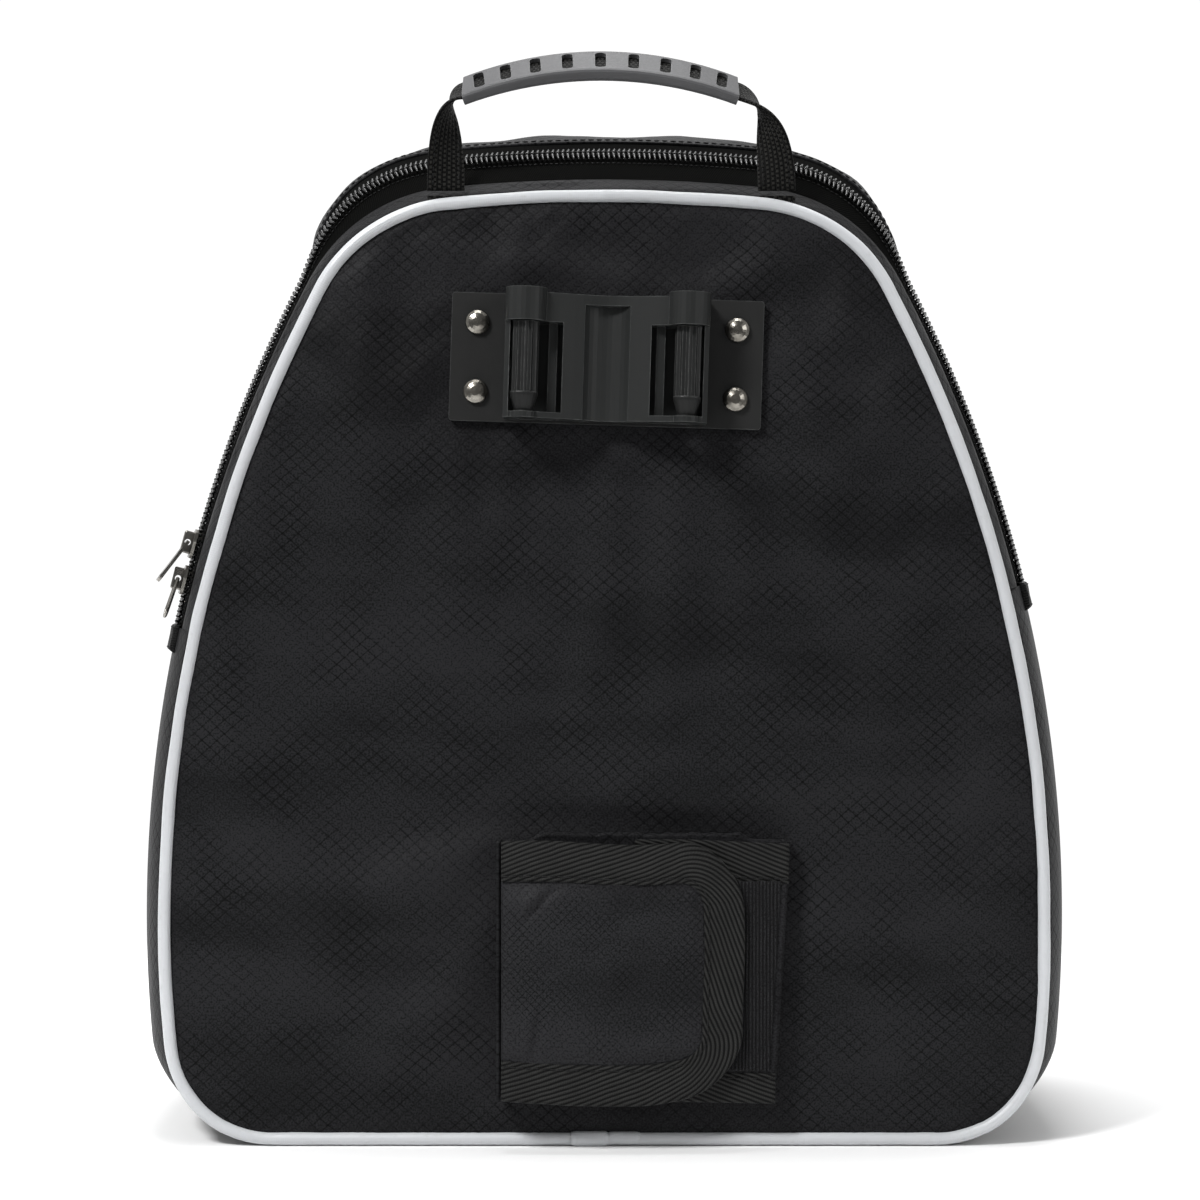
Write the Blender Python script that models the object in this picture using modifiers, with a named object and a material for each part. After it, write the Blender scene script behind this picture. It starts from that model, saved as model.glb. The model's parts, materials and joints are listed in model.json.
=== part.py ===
"""Skate bag: an arched fabric bag with a zipped front lid, a carrying handle, a roller clip that
holds a shaft and a hook-and-loop cuff that steadies it.

Metres, +Z up, +X to the right, the front facing -Y. The bag stands on z = 0.
"""

import math

import bmesh
import bpy
from mathutils import Matrix, Vector

# The seam round the front panel, as a half outline of tangent arcs in x and height above the seam.
SIDE_RADIUS = 0.545
SIDE_CENTRE = (-0.369, 0.087)
TOP_RADIUS = 0.640
SEAM_HEIGHT = 0.377
SHOULDER_RADIUS = 0.064
FOOT_RADIUS = 0.041

# The bag's depth, from the front seam to the back one.
DEPTH_BOTTOM = 0.165
DEPTH_TOP = 0.126

# Fabric, piping and gaps.
GAP = 0.0003
PIPING_RADIUS = 0.0025
PANEL_THICKNESS = 0.003
BACK_THICKNESS = 0.004
FABRIC = 0.0018
TAPE = 0.0010
TEETH = 0.0024
SEAM_INSET = PIPING_RADIUS + GAP
FOOT = PIPING_RADIUS + GAP
BASE_BULGE = FOOT

# Heights on the side seam where the zip's strips end and where the lid folds.
LEFT_ZIP_END = 0.202
RIGHT_ZIP_END = 0.219
FOLD = 0.247
FOLD_GAP = 0.00025

# The gusset's section, front to back: (outward bulge, depth behind the front seam). The first six
# depths are in metres, the others a share of the bag's depth. They bound the front strip (0 to 2),
# the front tape (2 to 3), the two rows of teeth (3 to 4), the rear tape (4 to 5) and the rear strip.
TOP_SECTION = (
    (0.0010, 0.0028), (0.0040, 0.0048), (0.0078, 0.0096), (0.0168, 0.0176), (0.0226, 0.0256),
    (0.0280, 0.0350), (0.0322, 0.40), (0.0332, 0.58), (0.0310, 0.76), (0.0250, 0.88), (0.0140, 0.96),
)
SIDE_SECTION = (
    (0.0010, 0.0028), (0.0036, 0.0052), (0.0072, 0.0115), (0.0096, 0.0182), (0.0122, 0.0295),
    (0.0130, 0.0400), (0.0138, 0.42), (0.0138, 0.60), (0.0128, 0.76), (0.0098, 0.88), (0.0055, 0.96),
)
BASE_SECTION = (
    (0.0014, 0.0030), (BASE_BULGE, 0.0060), (BASE_BULGE, 0.0115), (BASE_BULGE, 0.0182),
    (BASE_BULGE, 0.0295), (BASE_BULGE, 0.0400), (BASE_BULGE, 0.42), (BASE_BULGE, 0.60),
    (BASE_BULGE, 0.76), (BASE_BULGE, 0.88), (BASE_BULGE, 0.96),
)
LAST_SECTION = 11
METRE_SECTIONS = 6
REAR_EDGE = (0.0010, 0.0028)
CHAIN_GAP = 0.0006
TOP_BLEND = (0.42, 0.98)
BASE_BLEND = (0.10, 1.00)

# The clip, in its own frame: x across, z up, y back from the front face of its base plate.
CLIP_CENTRE = (0.0008, 0.3107)
CLIP_TILT = math.radians(1.8)
PLATE_WIDTH = 0.1244
PLATE_HEIGHT = 0.0512
PLATE_THICKNESS = 0.0025
RIVET_X = 0.0518
RIVET_Z = 0.0138
RIVET_RADIUS = 0.0050
SHANK_RADIUS = 0.0020
HOLE_RADIUS = 0.0024
CRADLE_HALF_WIDTH = 0.0402
CRADLE_BOTTOM = -0.0245
CRADLE_TOP = 0.0250
CRADLE_MIDDLE = 0.0080
CRADLE_TOWER = 0.0150
TOWER_X = 0.0322
CAP_RADIUS = 0.0082
CAP_HEIGHT = 0.0130
CAP_FORWARD = 0.0130
ROLLER_RADIUS = 0.0054
ROLLER_BORE = 0.0017
ROLLER_RIBS = 12
ROLLER_FLUTE = 0.0007
ROLLER_TIP = 0.0070
LUG_HEIGHT = 0.0024
CAP_OVERHANG = 0.0015
PIN_RADIUS = 0.0013
CLIP_REACH = PANEL_THICKNESS / 2 + GAP + PLATE_THICKNESS + CAP_FORWARD + CAP_RADIUS

# The handle.
HANDLE_FEET = (-0.0636, 0.0690)
HANDLE_AXIS = (0.0024, 0.3795)
WEB_WIDTH = 0.0150
WEB_THICKNESS = 0.0014
GRIP_ENDS = (-0.0562, 0.0530)
GRIP_END_HEIGHT = 0.4195
GRIP_RISE = 0.0100
GRIP_WIDTH = 0.0190
GRIP_THICKNESS = 0.0054
GRIP_EDGE = 0.0018
GRIP_TILT = math.radians(36)
SLOT_PAIRS = 4
SLOT_PITCH = 0.0132
SLOT_CROWDING = 0.0046
SLOT_WIDTH = 0.0044
SLOT_LENGTH = 0.0134

# The zip's sliders, at angles round the left side's arc.
SLIDER_HEIGHTS = (0.2375, 0.2229)
SLIDER_LENGTH = 0.0120
SLIDER_WIDTH = 0.0125
SLIDER_PLATE = 0.0012
SLIDER_CHANNEL = 0.0016
BAIL_HOLE = 0.0013
BAIL_LIFT = 0.0046
UPPER_PULL_ANGLE = math.radians(22)
LOWER_PULL_ANGLE = math.radians(5)
UPPER_PULL_LENGTH = 0.0200
LOWER_PULL_LENGTH = 0.0165

# The cuff on the lower front.
CUFF_LEFT = -0.0420
CUFF_RIGHT = 0.0700
LEFT_FLAP_END = 0.0550
RIGHT_FLAP_END = 0.0120
CUFF_LOW = 0.0178
CUFF_HIGH = 0.1198
CUFF_SHEET = 0.0014
CUFF_BINDING = 0.0022
HOOK_THICKNESS = 0.0008
BINDING_WIDTH = 0.0160
LEFT_FLAP_Y = -0.0143
RIGHT_FLAP_Y = -0.0104

# The seam plane's place, which centres the whole bag on y = 0.
FRONT = (CLIP_REACH - DEPTH_BOTTOM - PIPING_RADIUS) / 2


# Scene, collections and materials


def clear_scene():
    for thing in list(bpy.data.objects):
        bpy.data.objects.remove(thing)


def new_collection(name):
    collection = bpy.data.collections.new(name)
    bpy.context.scene.collection.children.link(collection)
    return collection


def material(name, colour, roughness, metallic=0.0):
    made = bpy.data.materials.new(name)
    made.use_nodes = True
    shader = made.node_tree.nodes["Principled BSDF"]
    shader.inputs["Base Color"].default_value = (*colour, 1.0)
    shader.inputs["Roughness"].default_value = roughness
    shader.inputs["Metallic"].default_value = metallic
    return made


clear_scene()
BAG = new_collection("skate_bag")
CUTTERS = new_collection("cutters")
RIPSTOP = ("ripstop", (0.020, 0.020, 0.022), 0.62)
PIPING = ("piping", (0.62, 0.63, 0.65), 0.45)
WEBBING = ("webbing", (0.012, 0.012, 0.013), 0.75)
ZIP_TAPE = ("zip_tape", (0.014, 0.014, 0.015), 0.80)
ZIP_TEETH = ("zip_teeth", (0.030, 0.030, 0.032), 0.35)
TWILL = ("twill_binding", (0.016, 0.016, 0.017), 0.80)
HOOK_AND_LOOP = ("hook_and_loop", (0.018, 0.018, 0.019), 0.90)
MOULDED = ("moulded_plastic", (0.030, 0.030, 0.032), 0.50)
GRIP = ("grip_plastic", (0.060, 0.060, 0.063), 0.55)
BOARD = ("board", (0.050, 0.050, 0.052), 0.60)
NICKEL = ("nickel", (0.60, 0.58, 0.54), 0.30, 1.0)
GUNMETAL = ("gunmetal", (0.33, 0.32, 0.30), 0.35, 1.0)


def finish(thing, look):
    """Gives an object its own material and puts it among the bag's parts."""
    name, colour, roughness, *metal = look
    thing.data.materials.clear()
    thing.data.materials.append(material(f"{thing.name}_{name}", colour, roughness, *metal))
    return thing


def empty(name, location, rotation=(0.0, 0.0, 0.0)):
    made = bpy.data.objects.new(name, None)
    made.location = location
    made.rotation_euler = rotation
    BAG.objects.link(made)
    bpy.context.view_layer.update()
    return made


def attach(thing, parent):
    """Parents an object and keeps its place in the world."""
    bpy.context.view_layer.update()
    thing.parent = parent
    thing.matrix_parent_inverse = parent.matrix_world.inverted()


# Modelling tools


def mesh_object(name, shape, collection=None):
    """An object from a bmesh, with its faces turned outwards."""
    bmesh.ops.recalc_face_normals(shape, faces=shape.faces)
    data = bpy.data.meshes.new(name)
    shape.to_mesh(data)
    shape.free()
    thing = bpy.data.objects.new(name, data)
    (collection or BAG).objects.link(thing)
    return thing


def block(name, low, high, collection=None):
    """A box between two corners."""
    shape = bmesh.new()
    bmesh.ops.create_cube(shape, size=1.0)
    size = Vector(high) - Vector(low)
    centre = (Vector(high) + Vector(low)) / 2
    bmesh.ops.scale(shape, vec=size, verts=shape.verts)
    bmesh.ops.translate(shape, vec=centre, verts=shape.verts)
    return mesh_object(name, shape, collection)


def cylinder(name, radius, start, end, sides=20, collection=None):
    """A cylinder between two points."""
    shape = bmesh.new()
    start = Vector(start)
    axis = Vector(end) - start
    bmesh.ops.create_cone(
        shape, cap_ends=True, segments=sides, radius1=radius, radius2=radius, depth=axis.length
    )
    turn = axis.to_track_quat("Z", "Y").to_matrix().to_4x4()
    bmesh.ops.transform(shape, matrix=Matrix.Translation(start + axis / 2) @ turn, verts=shape.verts)
    return mesh_object(name, shape, collection)


def plate(name, outlines, thickness, rotation=(math.pi / 2, 0.0, 0.0), location=(0.0, 0.0, 0.0)):
    """A flat plate from closed outlines in its own plane; the first is the rim, the rest are holes."""
    curve = bpy.data.curves.new(name, "CURVE")
    curve.dimensions = "2D"
    curve.fill_mode = "BOTH"
    curve.extrude = thickness / 2
    for outline in outlines:
        spline = curve.splines.new("POLY")
        spline.points.add(len(outline) - 1)
        for point, (x, y) in zip(spline.points, outline):
            point.co = (x, y, 0.0, 1.0)
        spline.use_cyclic_u = True
    thing = bpy.data.objects.new(name, curve)
    thing.rotation_euler = rotation
    thing.location = location
    BAG.objects.link(thing)
    return thing


def tube(name, points, radius, cyclic=False):
    """A round cord along a line of points, with filled ends."""
    curve = bpy.data.curves.new(name, "CURVE")
    curve.dimensions = "3D"
    curve.bevel_depth = radius
    curve.bevel_resolution = 2
    curve.use_fill_caps = not cyclic
    spline = curve.splines.new("POLY")
    spline.points.add(len(points) - 1)
    for point, place in zip(spline.points, points):
        point.co = (*place, 1.0)
    spline.use_cyclic_u = cyclic
    thing = bpy.data.objects.new(name, curve)
    BAG.objects.link(thing)
    return thing


def as_mesh(thing):
    """Turns a curve, or an object with modifiers, into a plain welded mesh."""
    bpy.context.view_layer.update()
    graph = bpy.context.evaluated_depsgraph_get()
    data = bpy.data.meshes.new_from_object(thing.evaluated_get(graph))
    shape = bmesh.new()
    shape.from_mesh(data)
    bmesh.ops.remove_doubles(shape, verts=shape.verts, dist=0.000001)
    bmesh.ops.recalc_face_normals(shape, faces=shape.faces)
    shape.to_mesh(data)
    shape.free()
    name = thing.name
    made = bpy.data.objects.new(name, data)
    made.matrix_world = thing.matrix_world
    for collection in thing.users_collection:
        collection.objects.link(made)
    bpy.data.objects.remove(thing)
    made.name = name
    return made


def turned(name, profile, steps=20):
    """A turned shape from a profile of (radius, height), running from its top to its bottom."""
    shape = bmesh.new()
    corners = [shape.verts.new((radius, 0.0, height)) for radius, height in profile]
    for one, other in zip(corners, corners[1:]):
        shape.edges.new((one, other))
    data = bpy.data.meshes.new(name)
    shape.to_mesh(data)
    shape.free()
    thing = bpy.data.objects.new(name, data)
    BAG.objects.link(thing)
    screw = thing.modifiers.new("Turn", "SCREW")
    screw.steps = steps
    screw.render_steps = steps
    screw.use_merge_vertices = True
    screw.merge_threshold = 0.00001
    return thing


def boolean(thing, tool, operation):
    """Cuts or joins a tool, which is kept among the cutters."""
    for collection in list(tool.users_collection):
        collection.objects.unlink(tool)
    CUTTERS.objects.link(tool)
    tool.hide_render = True
    tool.display_type = "WIRE"
    change = thing.modifiers.new(operation.title(), "BOOLEAN")
    change.operation = operation
    change.solver = "EXACT"
    change.object = tool


def group(name, parts):
    """Several separate solids as one object."""
    shape = bmesh.new()
    for part in parts:
        part = as_mesh(part)
        piece = part.data
        piece.transform(part.matrix_world)
        shape.from_mesh(piece)
        bpy.data.objects.remove(part)
    return mesh_object(name, shape)


def sweep(name, frames, section, scales=None):
    """A closed section lofted along frames of (place, across, up)."""
    shape = bmesh.new()
    rings = []
    for index, (place, across, up) in enumerate(frames):
        scale = scales[index] if scales else 1.0
        rings.append([shape.verts.new(place + across * a + up * (b * scale)) for a, b in section])
    count = len(section)
    for ring, following in zip(rings, rings[1:]):
        for k in range(count):
            other = (k + 1) % count
            shape.faces.new((ring[k], ring[other], following[other], following[k]))
    shape.faces.new(rings[0])
    shape.faces.new(list(reversed(rings[-1])))
    return mesh_object(name, shape)


def arc(centre, radius, start, end, steps):
    """Points on an arc, angles in radians."""
    return [
        (
            centre[0] + radius * math.cos(start + (end - start) * k / steps),
            centre[1] + radius * math.sin(start + (end - start) * k / steps),
        )
        for k in range(steps + 1)
    ]


def rounded(left, right, low, high, radii, steps=5):
    """A rectangle's outline with a radius at each corner: low right, high right, high left, low left."""
    corners = (
        (right, low, -1, 1, -math.pi / 2),
        (right, high, -1, -1, 0.0),
        (left, high, 1, -1, math.pi / 2),
        (left, low, 1, 1, math.pi),
    )
    points = []
    for (x, y, inward_x, inward_y, start), radius in zip(corners, radii):
        if radius:
            centre = (x + inward_x * radius, y + inward_y * radius)
            points += arc(centre, radius, start, start + math.pi / 2, steps)
        else:
            points.append((x, y))
    return points


def circle(centre, radius, sides=16):
    return arc(centre, radius, 0.0, math.tau * (sides - 1) / sides, sides - 1)


def smooth(value):
    value = min(1.0, max(0.0, value))
    return value * value * (3 - 2 * value)


# The seam's outline


def meeting(centre_a, reach_a, centre_b, reach_b):
    """The right-hand crossing of two circles."""
    a = Vector(centre_a)
    line = Vector(centre_b) - a
    along = (reach_a**2 - reach_b**2 + line.length_squared) / (2 * line.length)
    away = math.sqrt(reach_a**2 - along**2)
    direction = line.normalized()
    crossings = [
        a + direction * along + Vector((-direction.y, direction.x)) * side * away for side in (-1, 1)
    ]
    return max(crossings, key=lambda point: point.x)


TOP_CENTRE = (0.0, SEAM_HEIGHT - TOP_RADIUS)
SHOULDER_CENTRE = meeting(
    SIDE_CENTRE, SIDE_RADIUS - SHOULDER_RADIUS, TOP_CENTRE, TOP_RADIUS - SHOULDER_RADIUS
)
FOOT_DROP = FOOT_RADIUS - SIDE_CENTRE[1]
FOOT_CENTRE = (
    SIDE_CENTRE[0] + math.sqrt((SIDE_RADIUS - FOOT_RADIUS) ** 2 - FOOT_DROP**2),
    FOOT_RADIUS,
)
FOOT_ANGLE = math.atan2(FOOT_DROP, FOOT_CENTRE[0] - SIDE_CENTRE[0])
SHOULDER_ANGLE = math.atan2(SHOULDER_CENTRE[1] - SIDE_CENTRE[1], SHOULDER_CENTRE[0] - SIDE_CENTRE[0])
TOP_ANGLE = math.atan2(SHOULDER_CENTRE[1] - TOP_CENTRE[1], SHOULDER_CENTRE[0] - TOP_CENTRE[0])
SIDE_STEP = math.radians(2.6)


def side_angle(height):
    """The angle on the side's arc at a height."""
    return math.asin((height - SIDE_CENTRE[1]) / SIDE_RADIUS)


def on_arc(centre, radius, start, end, steps):
    """Seam stations (x, height, outward x, outward height) on an arc."""
    found = []
    for k in range(steps + 1):
        angle = start + (end - start) * k / steps
        c = math.cos(angle)
        s = math.sin(angle)
        found.append((centre[0] + radius * c, centre[1] + radius * s, c, s))
    return found


def half_seam(low=None, high=None):
    """Stations up the right half of the seam between two heights on the side; None is the middle."""
    legs = []
    start = FOOT_ANGLE
    end = SHOULDER_ANGLE
    if low is None:
        legs.append([(FOOT_CENTRE[0] * k / 3, 0.0, 0.0, -1.0) for k in range(4)])
        legs.append(on_arc(FOOT_CENTRE, FOOT_RADIUS, -math.pi / 2, FOOT_ANGLE, 7))
    else:
        start = side_angle(low)
    if high is not None:
        end = side_angle(high)
    legs.append(on_arc(SIDE_CENTRE, SIDE_RADIUS, start, end, max(1, round((end - start) / SIDE_STEP))))
    if high is None:
        legs.append(on_arc(SHOULDER_CENTRE, SHOULDER_RADIUS, SHOULDER_ANGLE, TOP_ANGLE, 8))
        legs.append(on_arc(TOP_CENTRE, TOP_RADIUS, TOP_ANGLE, math.pi / 2, 2))
    stations = legs[0]
    for leg in legs[1:]:
        stations = stations + leg[1:]
    return stations


def mirrored(stations):
    """The same stretch on the left half, run the other way."""
    return [(-x, height, -out_x, out_h) for x, height, out_x, out_h in reversed(stations)]


def lower_seam(left, right):
    """From a height on the left side down round the base to a height on the right side."""
    return mirrored(half_seam(None, left)) + half_seam(None, right)[1:]


def upper_seam(right, left):
    """From a height on the right side up over the top to a height on the left side."""
    return half_seam(right, None) + mirrored(half_seam(left, None))[1:]


def whole_seam():
    return half_seam() + mirrored(half_seam())[1:-1]


def inset_outline(stations, inset):
    return [(x - out_x * inset, height - out_h * inset) for x, height, out_x, out_h in stations]


# The gusset


def depth_at(height):
    """The bag's depth at a height on the seam: the back leans forward."""
    return DEPTH_BOTTOM - (DEPTH_BOTTOM - DEPTH_TOP) * height / SEAM_HEIGHT


def section_point(station, index):
    """The gusset's bulge and depth at a whole section index."""
    _, height, _, out_h = station
    depth = depth_at(height)
    if index == LAST_SECTION:
        return REAR_EDGE[0], depth - REAR_EDGE[1]
    top = smooth((out_h - TOP_BLEND[0]) / (TOP_BLEND[1] - TOP_BLEND[0]))
    base = smooth((-out_h - BASE_BLEND[0]) / (BASE_BLEND[1] - BASE_BLEND[0]))
    shares = (top, 1.0 - top - base, base)
    sections = (TOP_SECTION, SIDE_SECTION, BASE_SECTION)
    bulge = sum(share * section[index][0] for share, section in zip(shares, sections))
    back = sum(share * section[index][1] for share, section in zip(shares, sections))
    return bulge, back if index < METRE_SECTIONS else back * depth


def on_section(station, k):
    """Bulge and depth at any section index, and their rates of change."""
    below = min(int(k), LAST_SECTION - 1)
    share = k - below
    low = section_point(station, below)
    high = section_point(station, below + 1)
    here = [a + (b - a) * share for a, b in zip(low, high)]
    if 0.0 < share < 1.0:
        rate = [b - a for a, b in zip(low, high)]
    else:
        centre = round(k)
        before = section_point(station, max(centre - 1, 0))
        after = section_point(station, min(centre + 1, LAST_SECTION))
        rate = [b - a for a, b in zip(before, after)]
    return here, rate


def gusset_frame(station, k):
    """A point on the gusset, the way back along it and the way out of it."""
    x, height, out_x, out_h = station
    (bulge, back), (bulge_rate, back_rate) = on_section(station, k)
    place = Vector((x + out_x * bulge, FRONT + back, FOOT + height + out_h * bulge))
    length = math.hypot(bulge_rate, back_rate)
    along = Vector((out_x * bulge_rate, back_rate, out_h * bulge_rate)) / length
    outward = Vector((out_x * back_rate, -bulge_rate, out_h * back_rate)) / length
    return place, along, outward


def band(name, stations, first, last, steps, thickness, lift=0.0, trims=(GAP / 2, GAP / 2)):
    """A strip of the gusset as a closed solid, between two section indices."""
    shape = bmesh.new()
    outer = []
    inner = []
    for station in stations:
        outer_row = []
        inner_row = []
        for k in range(steps + 1):
            place, along, outward = gusset_frame(station, first + (last - first) * k / steps)
            if k == 0:
                place = place + along * trims[0]
            if k == steps:
                place = place - along * trims[1]
            outer_row.append(shape.verts.new(place + outward * lift))
            inner_row.append(shape.verts.new(place + outward * (lift - thickness)))
        outer.append(outer_row)
        inner.append(inner_row)
    rows = len(stations)
    for i in range(rows - 1):
        for k in range(steps):
            shape.faces.new((outer[i][k], outer[i][k + 1], outer[i + 1][k + 1], outer[i + 1][k]))
            shape.faces.new((inner[i][k], inner[i + 1][k], inner[i + 1][k + 1], inner[i][k + 1]))
        for k in (0, steps):
            shape.faces.new((outer[i][k], outer[i + 1][k], inner[i + 1][k], inner[i][k]))
    for i in (0, rows - 1):
        for k in range(steps):
            shape.faces.new((outer[i][k], inner[i][k], inner[i][k + 1], outer[i][k + 1]))
    return mesh_object(name, shape)


def side_pair(name, look, heights_left, heights_right, *band_values):
    """The same strip on the left and on the right side."""
    finish(band(f"{name}_left", mirrored(half_seam(*heights_left)), *band_values), look)
    finish(band(f"{name}_right", half_seam(*heights_right), *band_values), look)


def zip_bands():
    """The strips, tapes and teeth, split at the lid's fold in front and whole behind."""
    lid = upper_seam(FOLD + FOLD_GAP, FOLD + FOLD_GAP)
    rear = upper_seam(RIGHT_ZIP_END + GAP, LEFT_ZIP_END + GAP)
    below = (
        (LEFT_ZIP_END + GAP, FOLD - FOLD_GAP),
        (RIGHT_ZIP_END + GAP, FOLD - FOLD_GAP),
    )
    half = GAP / 2
    chain = (half, CHAIN_GAP)
    chain_back = (CHAIN_GAP, half)
    base = band(
        "gusset_bottom_panel", lower_seam(LEFT_ZIP_END, RIGHT_ZIP_END), 0, LAST_SECTION,
        LAST_SECTION, FABRIC,
    )
    finish(base, RIPSTOP)
    finish(band("gusset_front_strip", lid, 0, 2, 2, FABRIC), RIPSTOP)
    side_pair("gusset_front_strip", RIPSTOP, *below, 0, 2, 2, FABRIC)
    finish(band("gusset_rear_strip", rear, 5, LAST_SECTION, 6, FABRIC), RIPSTOP)
    finish(band("zip_front_tape", lid, 2, 3, 1, TAPE, -0.0002), ZIP_TAPE)
    side_pair("zip_front_tape", ZIP_TAPE, *below, 2, 3, 1, TAPE, -0.0002)
    finish(band("zip_rear_tape", rear, 4, 5, 1, TAPE, -0.0002), ZIP_TAPE)
    lift = TEETH / 2
    finish(band("zip_front_teeth", lid, 3, 3.5, 1, TEETH, lift, chain), ZIP_TEETH)
    side_pair("zip_front_teeth", ZIP_TEETH, *below, 3, 3.5, 1, TEETH, lift, chain)
    finish(band("zip_rear_teeth", rear, 3.5, 4, 1, TEETH, lift, chain_back), ZIP_TEETH)
    tab_height = 0.009
    side_pair(
        "zip_end_tab", WEBBING,
        (LEFT_ZIP_END - tab_height, LEFT_ZIP_END - GAP),
        (RIGHT_ZIP_END - tab_height, RIGHT_ZIP_END - GAP),
        2.9, 4.1, 3, 0.0012, 0.0015,
    )


# Panels and piping


def panels():
    place = (0.0, FRONT, FOOT)
    upper = inset_outline(upper_seam(FOLD + FOLD_GAP, FOLD + FOLD_GAP), SEAM_INSET)
    lower = inset_outline(lower_seam(FOLD - FOLD_GAP, FOLD - FOLD_GAP), SEAM_INSET)
    turn = Matrix.Rotation(-CLIP_TILT, 2)
    holes = []
    for x, z in rivet_places():
        across, up = turn @ Vector((x, z))
        holes.append(circle((CLIP_CENTRE[0] + across, CLIP_CENTRE[1] + up), HOLE_RADIUS))
    finish(plate("front_panel_upper", [upper, *holes], PANEL_THICKNESS, location=place), RIPSTOP)
    finish(plate("front_panel_lower", [lower], PANEL_THICKNESS, location=place), RIPSTOP)
    lean = math.atan2(DEPTH_BOTTOM - DEPTH_TOP, SEAM_HEIGHT)
    outline = [(x, z / math.cos(lean)) for x, z in inset_outline(whole_seam(), SEAM_INSET)]
    back = plate(
        "back_panel", [outline], BACK_THICKNESS,
        rotation=(math.pi / 2 + lean, 0.0, 0.0), location=(0.0, FRONT + DEPTH_BOTTOM, FOOT),
    )
    finish(back, RIPSTOP)


def piping():
    def front(stations):
        return [(x, FRONT, FOOT + height) for x, height, _, _ in stations]

    upper = upper_seam(FOLD + FOLD_GAP, FOLD + FOLD_GAP)
    lower = lower_seam(FOLD - FOLD_GAP, FOLD - FOLD_GAP)
    finish(tube("front_piping_upper", front(upper), PIPING_RADIUS), PIPING)
    finish(tube("front_piping_lower", front(lower), PIPING_RADIUS), PIPING)
    back = [(x, FRONT + depth_at(height), FOOT + height) for x, height, _, _ in whole_seam()]
    finish(tube("back_piping", back, PIPING_RADIUS, cyclic=True), PIPING)


def bottom_board():
    thickness = 0.0025
    low = (-0.128, FRONT + 0.0100, FABRIC + GAP)
    high = (0.128, FRONT + DEPTH_BOTTOM - 0.0100, FABRIC + GAP + thickness)
    board = block("bottom_board", low, high)
    edge = board.modifiers.new("Edges", "BEVEL")
    edge.width = 0.0008
    edge.segments = 1
    finish(board, BOARD)


# The clip


def rivet_places():
    return [(side * RIVET_X, level * RIVET_Z) for side in (-1, 1) for level in (-1, 1)]


def clip_frame():
    plate_front = FRONT - PANEL_THICKNESS / 2 - GAP - PLATE_THICKNESS
    return empty(
        "clip_frame",
        (CLIP_CENTRE[0], plate_front, FOOT + CLIP_CENTRE[1]),
        (0.0, CLIP_TILT, 0.0),
    )


def cradle_front(x):
    """How far the cradle stands out at x: a valley between two towers."""
    share = min(1.0, abs(x) / TOWER_X)
    return CRADLE_MIDDLE + (CRADLE_TOWER - CRADLE_MIDDLE) * (1 - math.cos(math.pi * share)) / 2


def clip_plate(frame):
    outline = rounded(
        -PLATE_WIDTH / 2, PLATE_WIDTH / 2, -PLATE_HEIGHT / 2, PLATE_HEIGHT / 2, (0.0012,) * 4, 3
    )
    holes = [circle(place, HOLE_RADIUS) for place in rivet_places()]
    made = plate("clip_base_plate", [outline, *holes], PLATE_THICKNESS)
    made.location = (0.0, PLATE_THICKNESS / 2, 0.0)
    made.parent = frame
    finish(made, MOULDED)


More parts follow.
